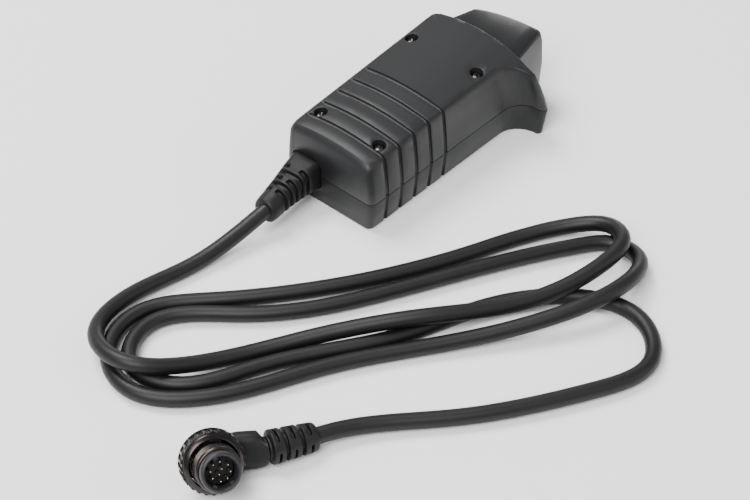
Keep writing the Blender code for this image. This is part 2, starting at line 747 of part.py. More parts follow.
def handle_strain_relief(parent):
    """The moulded relief: a flange inside the wall, a block through it and a tapering tail."""
    stations = (
        (2.9, *RELIEF_FLANGE, 2.0),
        (1.6, *RELIEF_FLANGE, 2.0),
        (1.35, RELIEF_ROOT_WIDTH, RELIEF_ROOT_HEIGHT, 1.9),
        (-4.4, RELIEF_ROOT_WIDTH - 0.6, RELIEF_ROOT_HEIGHT - 0.5, 2.3),
        (-4.5, 6.2, 5.7, 2.3),
        (-5.4, 6.2, 5.7, 2.3),
        (-5.5, 7.8, 7.3, 2.6),
        (-8.2, 7.4, 7.0, 2.9),
        (-8.3, 5.7, 5.3, 2.3),
        (-9.2, 5.7, 5.3, 2.3),
        (-9.3, 7.2, 6.9, 3.0),
        (-11.8, 6.8, 6.6, 3.0),
        (-11.9, 5.1, 4.9, 2.3),
        (-12.8, 5.1, 4.9, 2.3),
        (-12.9, 6.7, 6.5, 3.0),
        (RELIEF_TIP_Y + 0.4, RELIEF_TIP_DIAMETER, RELIEF_TIP_DIAMETER, 3.0),
        (RELIEF_TIP_Y, 5.4, 5.4, 2.6),
    )
    loops = []
    for y, width, height, radius in stations:
        drop = max(0.0, -y / -RELIEF_TIP_Y) if y < 0 else 0.0
        z = RELIEF_ROOT_Z + (RELIEF_TIP_Z - RELIEF_ROOT_Z) * drop**1.3
        x = RELIEF_X + RELIEF_SHIFT * drop
        loops.append([(x + u, y, z + v) for u, v in rounded_rectangle(width, height, radius)])
    return finish_mesh("handle_strain_relief", loft(loops), "soft_black", parent, 35)


def cord(parent):
    """The free cord, lying on the surface and passing over itself."""
    points = smooth_curve(CORD_ROUTE, CORD_POINTS)
    points[:, 2] = np.maximum(points[:, 2], CORD_DIAMETER / 2 + 0.05)
    return tube("cord", points, CORD_DIAMETER / 2, "cord_black", parent)


# ---------------------------------------------------------------- plug


def plug_frame():
    """The plug's own axes: x along the arm to the cord, z out of its face, y across."""
    heading = math.radians(ARM_HEADING)
    tilt = math.radians(FACE_TILT)
    along = Vector((math.cos(heading), math.sin(heading), 0))
    level = Vector((math.sin(heading), -math.cos(heading), 0))
    face = level * math.cos(tilt) + Vector((0, 0, 1)) * math.sin(tilt)
    across = face.cross(along)
    frame = Matrix((along, across, face)).transposed().to_4x4()
    frame.translation = Vector(RING_CENTRE) * MM
    return frame


def plug_holder(parent):
    """The empty on the plug's axis that its pieces hang from."""
    holder = bpy.data.objects.new("plug_axis", None)
    bpy.context.scene.collection.objects.link(holder)
    holder.parent = parent
    holder.matrix_local = plug_frame()
    return holder


def knurled_loop(height, radius, depth):
    """A circle with evenly spaced notches of the given depth."""
    shares = ((0.0, 0), (0.3, 0), (0.42, 1), (0.88, 1))
    points = []
    for notch in range(RING_NOTCHES):
        for share, cut in shares:
            angle = 2 * math.pi * (notch + share) / RING_NOTCHES
            r = radius - depth * cut
            points.append((r * math.cos(angle), r * math.sin(angle), height))
    return points


def locking_ring(parent):
    """The knurled ring that is turned to lock the plug."""
    outer = (
        (-2.0, RING_RADIUS - 0.45, 0.0),
        (-1.6, RING_RADIUS, 0.5),
        (1.0, RING_RADIUS, 0.5),
        (1.35, RING_RADIUS - 0.3, 0.0),
        (1.5, RING_RADIUS - 0.6, 0.0),
        (2.1, RING_RADIUS - 1.35, 0.0),
        (2.1, RING_BORE, 0.0),
        (-2.0, RING_BORE, 0.0),
    )
    loops = [knurled_loop(height, radius, depth) for height, radius, depth in outer]
    return finish_mesh("locking_ring", loft(loops, ring=True), "gunmetal", parent, 30)


def threaded_sleeve(parent):
    """The screw thread that turns with the ring."""
    profile = [(-1.6, SLEEVE_BORE), (-1.6, SLEEVE_RADIUS), (2.9, SLEEVE_RADIUS)]
    height = 2.9
    while height < 6.0:
        profile.append((height + THREAD_PITCH * 0.5, SLEEVE_RADIUS))
        profile.append((height + THREAD_PITCH * 0.75, SLEEVE_RADIUS - 0.25))
        profile.append((height + THREAD_PITCH, SLEEVE_RADIUS - 0.02))
        height += THREAD_PITCH
    profile.append((6.6, SLEEVE_RADIUS - 0.4))
    profile.append((6.6, SLEEVE_BORE))
    loops = turned(profile, 36)
    return finish_mesh("threaded_sleeve", loft(loops, ring=True), "gunmetal", parent, 30)


def plug_barrel(parent):
    """The keyed barrel round the contacts; it doesn't turn."""
    profile = (
        (-2.0, 0.5),
        (-2.0, BARREL_BODY_RADIUS),
        (6.9, BARREL_BODY_RADIUS),
        (7.1, BARREL_RADIUS),
        (8.2, BARREL_RADIUS),
        (8.6, BARREL_RADIUS - 0.35),
        (8.6, BARREL_LIP_BORE + 0.3),
        (8.2, BARREL_LIP_BORE),
        (5.9, BARREL_LIP_BORE),
        (5.7, BARREL_BORE),
        (1.0, BARREL_BORE),
        (1.0, 0.5),
    )
    barrel = finish_mesh(
        "plug_barrel", loft(turned(profile, 36), ring=True), "barrel_grey", parent, 30
    )
    for index, angle in enumerate((-55, -125, 100)):
        key = box((BARREL_LIP_BORE - 0.4, -0.45, 6.1), (BARREL_LIP_BORE + 0.2, 0.45, 8.1))
        bmesh.ops.rotate(
            key, verts=key.verts, matrix=Matrix.Rotation(math.radians(angle), 3, "Z")
        )
        boolean(barrel, finish_mesh(f"key_tool_{index}", key, None, parent), "UNION")
    return barrel


def pin_spots():
    """Where the ten contacts stand: two arcs of four and a pair between them."""
    spots = []
    for side in (1, -1):
        for turn in PIN_TURNS:
            angle = math.radians(PIN_PATTERN_TURN + side * turn)
            spots.append((PIN_CIRCLE_RADIUS * math.cos(angle), PIN_CIRCLE_RADIUS * math.sin(angle)))
    angle = math.radians(PIN_PATTERN_TURN)
    inner = (INNER_PIN_OFFSET * math.cos(angle), INNER_PIN_OFFSET * math.sin(angle))
    return spots + [inner, (-inner[0], -inner[1])]


def pin_insert(parent):
    """The insulator that holds the contacts."""
    radius = BARREL_BORE - GAP
    loops = turned(((1.3, radius), (5.0, radius), (5.2, radius - 0.2)), 32)
    insert = finish_mesh("pin_insert", loft(loops), "insert_black", parent, 30)
    for index, (x, y) in enumerate(pin_spots()):
        hole = post(x, y, 3.6, 7, PIN_RADIUS + GAP, 12)
        boolean(insert, finish_mesh(f"pin_hole_{index}", hole, None, parent))
    return insert


def contact_pins(parent):
    """Ten round-ended pins."""
    profile = ((3.9, PIN_RADIUS), (7.3, PIN_RADIUS), (7.5, 0.17), (7.6, 0.06))
    for index, (x, y) in enumerate(pin_spots()):
        loops = [[(px + x, py + y, z) for px, py, z in loop] for loop in turned(profile, 10)]
        finish_mesh(f"contact_pin_{index + 1:02d}", loft(loops), "pin_bright", parent, 40)


def plug_elbow(parent):
    """The moulded elbow: a hub behind the ring and an arm with a flat top facet."""
    hub_loops = turned(((-6.6, 2.2), (-6.1, 3.4), (-5.2, 4.2), (-2.3, 4.8)), 28)
    elbow = finish_mesh("plug_elbow", loft(hub_loops), "soft_black", parent, 35)
    stations = (
        (-3.2, 5.6, 3.4, 1.2, 0.0, -4.5),
        (-1.5, 7.6, 4.4, 1.5, -0.2, -4.7),
        (5.0, 8.0, 4.8, 1.9, -0.5, -4.7),
        (7.4, 8.4, 4.6, 2.1, -0.7, -4.6),
        (9.3, 8.4, 4.4, 2.1, -0.95, -4.1),
        (11.0, 8.0, 4.3, 2.0, -1.1, -3.9),
        (11.8, 6.2, 4.4, 1.8, -1.5, -3.45),
        (NECK[0] - GAP, 5.2, 4.4, 1.8, NECK[1], NECK[2]),
    )
    loops = [
        [(x, aside + u, up + v) for u, v in rounded_rectangle(width, depth, radius)]
        for x, width, depth, radius, aside, up in stations
    ]
    boolean(elbow, finish_mesh("arm_tool", loft(loops), None, parent), "UNION")
    return elbow


def plug_strain_relief(parent):
    """The ribbed tail between the elbow and the cord."""
    profile = (
        (0.0, 2.3),
        (0.5, 2.3),
        (0.6, 3.8),
        (3.1, 3.7),
        (3.2, 2.5),
        (3.9, 2.5),
        (4.0, 3.6),
        (6.7, 3.5),
        (6.8, 2.45),
        (7.5, 2.45),
        (7.6, 3.35),
        (TAIL_LENGTH - 0.4, 3.15),
        (TAIL_LENGTH, 2.7),
    )
    along = Vector(TAIL_DIRECTION).normalized()
    side = along.cross(Vector((0, 0, 1))).normalized()
    up = side.cross(along)
    loops = [
        [
            Vector(NECK) + along * distance + (side * u + up * v) * radius
            for u, v in arc((0, 0), 1, 1, 0, 345, 24)
        ]
        for distance, radius in profile
    ]
    return finish_mesh("plug_strain_relief", loft(loops), "soft_black", parent, 35)


def build():
    """Make every piece."""
    clear_scene()
    origin = bpy.data.objects.new("object_origin", None)
    bpy.context.scene.collection.objects.link(origin)
    origin.location = (-FOOTPRINT_CENTRE[0] * MM, -FOOTPRINT_CENTRE[1] * MM, 0)

    shell("upper_shell", origin, lower=False)
    shell("lower_shell", origin, lower=True)
    for index in range(len(SCREW_SPOTS)):
        housing_screw(index, origin)
    trigger_button(origin)
    trigger_spring(origin)
    contact_block(origin)
    contact_leaves(origin)
    for index in range(len(BLOCK_SCREW_SPOTS)):
        block_screw(index, origin)
    inner_wires(origin)
    handle_strain_relief(origin)
    cord(origin)

    plug = plug_holder(origin)
    locking_ring(plug)
    threaded_sleeve(plug)
    plug_barrel(plug)
    pin_insert(plug)
    contact_pins(plug)
    plug_elbow(plug)
    plug_strain_relief(plug)


build()
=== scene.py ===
"""Cable shutter release: the finished look of its grip, trigger, switch works, cord and plug.

Sizes are in millimetres in two working frames: the grip's, whose zero is in the middle of its cord
end, and the plug's, whose x runs along the elbow and whose z points out of the contact face.
"""

import logging
import math
from collections.abc import Callable, Sequence
from dataclasses import dataclass
from enum import Enum

import bmesh
import bpy
import numpy as np
from mathutils import Matrix, Vector


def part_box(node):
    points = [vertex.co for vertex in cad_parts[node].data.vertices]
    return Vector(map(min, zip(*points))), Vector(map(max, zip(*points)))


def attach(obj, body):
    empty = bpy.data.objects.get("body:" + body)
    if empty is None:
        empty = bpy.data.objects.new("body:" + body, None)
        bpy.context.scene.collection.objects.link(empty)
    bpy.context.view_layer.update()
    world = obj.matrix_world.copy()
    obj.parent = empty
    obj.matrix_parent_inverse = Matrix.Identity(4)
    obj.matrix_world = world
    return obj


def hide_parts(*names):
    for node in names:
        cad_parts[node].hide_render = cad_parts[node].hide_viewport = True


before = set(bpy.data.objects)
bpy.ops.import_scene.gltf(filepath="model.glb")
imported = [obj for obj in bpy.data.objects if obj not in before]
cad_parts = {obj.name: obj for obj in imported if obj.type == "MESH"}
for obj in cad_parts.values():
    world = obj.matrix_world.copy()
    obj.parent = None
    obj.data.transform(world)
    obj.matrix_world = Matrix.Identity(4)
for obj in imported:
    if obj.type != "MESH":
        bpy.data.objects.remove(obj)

LOG = logging.getLogger("shutter_release")
MM = 0.001

# The middle of the footprint and of the locking ring, in the grip's frame.
FOOTPRINT_CENTRE = (3.9153, 24.825)
RING_CENTRE = (40.2, -80.05, 7.05)

# Which way the elbow's arm points, and how far its contact face looks up, in degrees.
ARM_HEADING = 61.5
FACE_TILT = 31.0

# Merging distances in millimetres, and the angle in degrees below which faces are joined.
NODE_MERGE = 0.002
RING_MERGE = 0.001
FLAT_ANGLE = 0.6

# How strongly large faces lead the shading.
FACE_WEIGHT = 80

# Places of the colour sockets on a Mix node.
MIX_FIRST = 6
MIX_SECOND = 7
MIX_RESULT = 2

FaceTest = Callable[[Vector, Vector], bool]


class Body(Enum):
    """The rigid bodies that pieces ride on."""

    HANDLE = "handle"
    TRIGGER = "trigger"
    COMMON = "common_leaf"
    HALF_PRESS = "half_press_leaf"
    LOCK_RING = "lock_ring"


class Slot(Enum):
    """The material slots."""

    SHELL = "shell_black"
    TRIGGER = "trigger_black"
    SOFT = "soft_black"
    CORD = "cord_black"
    SCREW = "screw_black"
    SPRING = "spring_steel"
    CONTACT = "contact_bronze"
    BLOCK = "block_cream"
    GUNMETAL = "gunmetal"
    BARREL = "barrel_grey"
    INSERT = "insert_black"
    PIN = "pin_bright"


# ---------------------------------------------------------------- working frames


def row_frame() -> Matrix:
    """The row frame in millimetres."""
    return Matrix.Scale(MM, 4)


def grip_frame() -> Matrix:
    """The grip's millimetre frame in the row frame."""
    place = Vector((-FOOTPRINT_CENTRE[0], -FOOTPRINT_CENTRE[1], 0.0)) * MM
    return Matrix.Translation(place) @ row_frame()


def plug_frame() -> Matrix:
    """The plug's millimetre frame in the row frame.

    Returns:
        The frame, whose z points out of the contact face.
    """
    heading = math.radians(ARM_HEADING)
    tilt = math.radians(FACE_TILT)
    along = Vector((math.cos(heading), math.sin(heading), 0.0))
    level = Vector((math.sin(heading), -math.cos(heading), 0.0))
    face = level * math.cos(tilt) + Vector((0.0, 0.0, math.sin(tilt)))
    turned = Matrix((along, face.cross(along), face)).transposed().to_4x4()
    turned.translation = Vector(RING_CENTRE)
    return grip_frame() @ turned


# ---------------------------------------------------------------- finishes


class Recipe:
    """One material's nodes, with short ways to add the usual ones."""

    def __init__(self, name: str) -> None:
        """Start a material with a Principled shader.

        Args:
            name: The material's name.
        """
        self.material = bpy.data.materials.new(name)
        self.material.use_nodes = True
        self.tree = self.material.node_tree
        self.shader = self.tree.nodes["Principled BSDF"]
        self.place = self.tree.nodes.new("ShaderNodeTexCoord").outputs["Object"]

    def stretched(self, factors: tuple[float, float, float]) -> bpy.types.NodeSocket:
        """Object coordinates scaled along each axis.

        Args:
            factors: Along x, y and z.

        Returns:
            The coordinates.
        """
        node = self.tree.nodes.new("ShaderNodeMapping")
        node.inputs["Scale"].default_value = factors
        self.tree.links.new(self.place, node.inputs["Vector"])
        return node.outputs["Vector"]

    def noise(
        self,
        scale: float,
        detail: float = 3.0,
        roughness: float = 0.55,
        place: bpy.types.NodeSocket | None = None,
    ) -> bpy.types.NodeSocket:
        """A noise pattern.

        Args:
            scale: Features per metre.
            detail: Octaves.
            roughness: Strength of the finer octaves.
            place: Coordinates to read, the object's own unless given.

        Returns:
            The pattern's value, from 0 to 1.
        """
        node = self.tree.nodes.new("ShaderNodeTexNoise")
        node.inputs["Scale"].default_value = scale
        node.inputs["Detail"].default_value = detail
        node.inputs["Roughness"].default_value = roughness
        self.tree.links.new(place or self.place, node.inputs["Vector"])
        return node.outputs["Fac"]

    def cells(self, scale: float) -> bpy.types.NodeSocket:
        """Distance to the nearest of many scattered points.

        Args:
            scale: Points per metre.

        Returns:
            The distance, as a share of a cell.
        """
        node = self.tree.nodes.new("ShaderNodeTexVoronoi")
        node.inputs["Scale"].default_value = scale
        self.tree.links.new(self.place, node.inputs["Vector"])
        return node.outputs["Distance"]

    def remap(
        self,
        value: bpy.types.NodeSocket,
        low: float,
        high: float,
        start: float,
        end: float,
    ) -> bpy.types.NodeSocket:
        """Carry one range of values over to another, clamped.

        Args:
            value: The pattern.
            low: Where its range starts.
            high: Where its range ends.
            start: What low becomes.
            end: What high becomes.

        Returns:
            The carried value.
        """
        node = self.tree.nodes.new("ShaderNodeMapRange")
        node.inputs["From Min"].default_value = low
        node.inputs["From Max"].default_value = high
        node.inputs["To Min"].default_value = start
        node.inputs["To Max"].default_value = end
        self.tree.links.new(value, node.inputs["Value"])
        return node.outputs["Result"]

    def join(
        self,
        first: bpy.types.NodeSocket,
        second: bpy.types.NodeSocket,
        operation: str = "ADD",
    ) -> bpy.types.NodeSocket:
        """Join two values.

        Args:
            first: One value.
            second: The other.
            operation: The Math node's operation.

        Returns:
            The result.
        """
        node = self.tree.nodes.new("ShaderNodeMath")
        node.operation = operation
        self.tree.links.new(first, node.inputs[0])
        self.tree.links.new(second, node.inputs[1])
        return node.outputs["Value"]

    def tint(
        self,
        amount: bpy.types.NodeSocket,
        first: Sequence[float] | bpy.types.NodeSocket,
        second: Sequence[float],
    ) -> bpy.types.NodeSocket:
        """A colour that goes from the first to the second as the amount rises.

        Args:
            amount: From 0 to 1.
            first: A colour, or a socket that gives one.
            second: The other colour.

        Returns:
            The mixed colour.
        """
        node = self.tree.nodes.new("ShaderNodeMix")
        node.data_type = "RGBA"
        self.tree.links.new(amount, node.inputs["Factor"])
        if isinstance(first, bpy.types.NodeSocket):
            self.tree.links.new(first, node.inputs[MIX_FIRST])
        else:
            node.inputs[MIX_FIRST].default_value = (*first, 1.0)
        node.inputs[MIX_SECOND].default_value = (*second, 1.0)
        return node.outputs[MIX_RESULT]

    def relief(
        self, height: bpy.types.NodeSocket, depth: float, strength: float = 1.0
    ) -> bpy.types.NodeSocket:
        """A bumped normal.

        Args:
            height: The surface pattern.
            depth: Its height in metres.
            strength: How much of it shows.

        Returns:
            The normal.
        """
        node = self.tree.nodes.new("ShaderNodeBump")
        node.inputs["Distance"].default_value = depth
        node.inputs["Strength"].default_value = strength
        self.tree.links.new(height, node.inputs["Height"])
        return node.outputs["Normal"]

    def feed(self, **sockets: bpy.types.NodeSocket) -> None:
        """Join patterns to the shader's inputs, named with underscores for spaces."""
        for name, source in sockets.items():
            self.tree.links.new(source, self.shader.inputs[name.replace("_", " ")])

    def fix(self, **values: float) -> None:
        """Set plain numbers on the shader's inputs."""
        for name, value in values.items():
            self.shader.inputs[name.replace("_", " ")].default_value = value


def lighter(colour: Sequence[float], factor: float) -> tuple[float, float, float]:
    """The colour with every channel multiplied."""
    return (colour[0] * factor, colour[1] * factor, colour[2] * factor)


@dataclass(frozen=True)
class MouldedPlastic:
    """Black moulded plastic with a fine spark-eroded grain, rubbed patches and a little dust."""

    name: str
    colour: tuple[float, float, float]
    roughness: float
    grain_scale: float = 5200.0
    grain_depth: float = 0.00003
    rub_share: float = 0.12
    shine: float = 0.36
    dust: float = 0.25
    pit_share: float = 0.6
    cloud_scale: float = 55.0
    smear_scale: float = 160.0
    speck_scale: float = 2600.0
    dark_tone: float = 0.86
    pale_tone: float = 1.14
    dust_tone: float = 3.2
    bump: float = 0.35

    def material(self) -> bpy.types.Material:
        """Build the material.

        Returns:
            The material.
        """
        recipe = Recipe(self.name)
        grain = recipe.noise(self.grain_scale, 2.0)
        pits = recipe.remap(recipe.cells(self.grain_scale * self.pit_share), 0.0, 0.6, 0.0, 1.0)
        cloud = recipe.noise(self.cloud_scale, 4.0)
        smear = recipe.noise(self.smear_scale, 4.0, 0.6, recipe.stretched((1.0, 0.25, 1.0)))
        tone = recipe.tint(
            recipe.remap(cloud, 0.35, 0.7, 0.0, 1.0),
            lighter(self.colour, self.dark_tone),
            lighter(self.colour, self.pale_tone),
        )
        speck = recipe.remap(recipe.noise(self.speck_scale, 1.0), 0.7, 0.78, 0.0, self.dust)
        tone = recipe.tint(speck, tone, lighter(self.colour, self.dust_tone))
        rough = recipe.remap(
            recipe.join(cloud, smear),
            0.7,
            1.35,
            self.roughness + self.rub_share * 0.5,
            self.roughness - self.rub_share * 0.5,
        )
        recipe.feed(
            Base_Color=tone,
            Roughness=rough,
            Normal=recipe.relief(
                recipe.join(grain, pits, "MULTIPLY"), self.grain_depth, self.bump
            ),
        )
        recipe.fix(IOR=1.5, Specular_IOR_Level=self.shine)
        return recipe.material


@dataclass(frozen=True)
class SoftRubber:
    """Matte soft moulding with a faint bloom and mould marks."""

    name: str
    colour: tuple[float, float, float]
    roughness: float = 0.6
    bloom_scale: float = 240.0
    grain_scale: float = 4200.0
    grain_depth: float = 0.00004
    dark_tone: float = 0.85
    pale_tone: float = 1.35
    bump: float = 0.3
    shine: float = 0.28

    def material(self) -> bpy.types.Material:
        """Build the material.

        Returns:
            The material.
        """
        recipe = Recipe(self.name)
        bloom = recipe.noise(self.bloom_scale, 5.0)
        grain = recipe.noise(self.grain_scale, 3.0)
        tone = recipe.tint(
            recipe.remap(bloom, 0.35, 0.72, 0.0, 1.0),
            lighter(self.colour, self.dark_tone),
            lighter(self.colour, self.pale_tone),
        )
        recipe.feed(
            Base_Color=tone,
            Roughness=recipe.remap(bloom, 0.3, 0.7, self.roughness - 0.07, self.roughness + 0.08),
            Normal=recipe.relief(recipe.join(grain, bloom), self.grain_depth, self.bump),
        )
        recipe.fix(Specular_IOR_Level=self.shine)
        return recipe.material


@dataclass(frozen=True)
class CordJacket:
    """Extruded cord jacket: smooth, with drag lines, handling shine and faint dust."""

    name: str
    colour: tuple[float, float, float]
    roughness: float = 0.46
    handled_scale: float = 45.0
    drag_scale: float = 1500.0
    drag_depth: float = 0.00003
    scuff_scale: float = 420.0
    dark_tone: float = 0.88
    pale_tone: float = 1.15
    scuff_tone: float = 1.9
    bump: float = 0.25
    shine: float = 0.34

    def material(self) -> bpy.types.Material:
        """Build the material.

        Returns:
            The material.
        """
        recipe = Recipe(self.name)
        handled = recipe.noise(self.handled_scale, 3.0)
        fine = recipe.noise(self.drag_scale, 3.0)
        scuff = recipe.remap(recipe.noise(self.scuff_scale, 5.0, 0.7), 0.62, 0.72, 0.0, 0.3)
        tone = recipe.tint(
            recipe.remap(handled, 0.3, 0.7, 0.0, 1.0),
            lighter(self.colour, self.dark_tone),
            lighter(self.colour, self.pale_tone),
        )
        tone = recipe.tint(scuff, tone, lighter(self.colour, self.scuff_tone))
        recipe.feed(
            Base_Color=tone,
            Roughness=recipe.remap(
                recipe.join(handled, fine), 0.6, 1.4, self.roughness - 0.06, self.roughness + 0.08
            ),
            Normal=recipe.relief(fine, self.drag_depth, self.bump),
        )
        recipe.fix(Specular_IOR_Level=self.shine)
        return recipe.material


@dataclass(frozen=True)
class TurnedMetal:
    """Plated turned metal: colour that drifts with the plating, lathe lines and bright wear."""

    name: str
    colour: tuple[float, float, float]
    warm: tuple[float, float, float]
    roughness: float
    worn: float = 0.2
    metallic: float = 1.0
    drift_scale: float = 180.0
    wear_scale: float = 900.0
    wear_tone: float = 2.6
    lathe_scale: float = 6500.0
    lathe_depth: float = 0.00002
    bump: float = 0.2

    def material(self) -> bpy.types.Material:
        """Build the material.

        Returns:
            The material.
        """
        recipe = Recipe(self.name)
        drift = recipe.noise(self.drift_scale, 3.0)
        wear = recipe.remap(recipe.noise(self.wear_scale, 6.0, 0.7), 0.6, 0.72, 0.0, self.worn)
        tone = recipe.tint(recipe.remap(drift, 0.35, 0.68, 0.0, 1.0), self.colour, self.warm)
        tone = recipe.tint(wear, tone, lighter(self.colour, self.wear_tone))
        fine = recipe.noise(self.lathe_scale, 3.0)
        recipe.feed(
            Base_Color=tone,
            Roughness=recipe.remap(
                recipe.join(drift, fine), 0.6, 1.4, self.roughness - 0.05, self.roughness + 0.1
            ),
            Normal=recipe.relief(fine, self.lathe_depth, self.bump),
        )
        recipe.fix(Metallic=self.metallic)
        return recipe.material


@dataclass(frozen=True)
class PaleFloor:
    """A plain pale studio floor with a hardly visible mottle."""

    name: str = "studio_floor"
    colour: tuple[float, float, float] = (0.93, 0.93, 0.93)

    def material(self) -> bpy.types.Material:
        """Build the material.

        Returns:
            The material.
        """
        recipe = Recipe(self.name)
        mottle = recipe.noise(6.0, 3.0)
        recipe.feed(Base_Color=recipe.tint(mottle, self.colour, lighter(self.colour, 0.985)))
        recipe.fix(Roughness=0.9, Specular_IOR_Level=0.1)
        return recipe.material


Finish = MouldedPlastic | SoftRubber | CordJacket | TurnedMetal | PaleFloor

SHELL_PLASTIC = MouldedPlastic("shell_plastic", (0.0085, 0.0088, 0.0098), 0.44)
TRIGGER_PLASTIC = MouldedPlastic(
    "trigger_plastic", (0.006, 0.0063, 0.007), 0.3, grain_depth=0.000012, dust=0.15
)
RELIEF_RUBBER = SoftRubber("relief_rubber", (0.0045, 0.0045, 0.005), 0.52)
ELBOW_RUBBER = SoftRubber("elbow_moulding", (0.0045, 0.0045, 0.005), 0.46)
JACKET = CordJacket("cord_jacket", (0.004, 0.004, 0.0045))
RING_METAL = TurnedMetal("ring_plating", (0.035, 0.033, 0.035), (0.042, 0.035, 0.033), 0.22)
SLEEVE_METAL = TurnedMetal("sleeve_plating", (0.04, 0.037, 0.038), (0.052, 0.043, 0.04), 0.24)
BARREL_METAL = TurnedMetal(
    "barrel_plating", (0.02, 0.02, 0.023), (0.022, 0.021, 0.022), 0.4, 0.06, 0.4
)
INSERT_RESIN = MouldedPlastic("insert_resin", (0.0015, 0.0015, 0.0015), 0.6, dust=0.05)
PIN_PLATING = TurnedMetal("pin_plating", (0.85, 0.82, 0.76), (0.9, 0.8, 0.62), 0.2, 0.05)
SCREW_STEEL = TurnedMetal("screw_black_oxide", (0.06, 0.06, 0.063), (0.08, 0.077, 0.072), 0.26)
SPRING_WIRE = TurnedMetal("spring_wire", (0.55, 0.55, 0.55), (0.5, 0.48, 0.45), 0.26)
BRONZE = TurnedMetal("rolled_bronze", (0.72, 0.48, 0.24), (0.62, 0.38, 0.18), 0.3)
CREAM_RESIN = MouldedPlastic("block_resin", (0.6, 0.55, 0.44), 0.55, dust=0.05)
RED_WIRE = CordJacket("red_insulation", (0.45, 0.02, 0.015))
WHITE_WIRE = CordJacket("white_insulation", (0.62, 0.62, 0.6))
BLUE_WIRE = CordJacket("blue_insulation", (0.02, 0.06, 0.36))


class Finishes:
    """The materials already built, by name."""

    _made: dict[str, bpy.types.Material] = {}

    @classmethod
    def get(cls, finish: Finish) -> bpy.types.Material:
        """The finish's material, built on first use.

        Args:
            finish: The surface.

        Returns:
            Its material.
        """
        if finish.name not in cls._made:
            cls._made[finish.name] = finish.material()
        return cls._made[finish.name]

    @classmethod
    def dress(cls, obj: bpy.types.Object, finish: Finish) -> None:
        """Give the whole object one finish."""
        obj.data.materials.clear()
        obj.data.materials.append(cls.get(finish))


# ---------------------------------------------------------------- modelling


def circle(radius: float, count: int, turn: float = 0.0) -> list[tuple[float, float]]:
    """Points evenly round a circle.

    Args:
        radius: Of the circle.
        count: How many points.
        turn: Where the first one is, in degrees.

    Returns:
        The points, counterclockwise.
    """
    step = 2 * math.pi / count
    start = math.radians(turn)
    return [
        (radius * math.cos(start + step * i), radius * math.sin(start + step * i))
        for i in range(count)
    ]


def rounded(width: float, height: float, radius: float, steps: int = 8) -> list[tuple[float, float]]:
    """Outline of a rectangle with round corners.

    Args:
        width: Across the first axis.
        height: Across the second axis.
        radius: Of the corners.
        steps: Points on each corner.

    Returns:
        The points, counterclockwise from the right-hand side.
    """
    x = width / 2 - radius
    y = height / 2 - radius
    points = []
    for centre_x, centre_y, start in ((x, y, 0), (-x, y, 90), (-x, -y, 180), (x, -y, 270)):
        for i in range(steps):
            angle = math.radians(start + 90 * i / (steps - 1))
            points.append((centre_x + radius * math.cos(angle), centre_y + radius * math.sin(angle)))
    return points


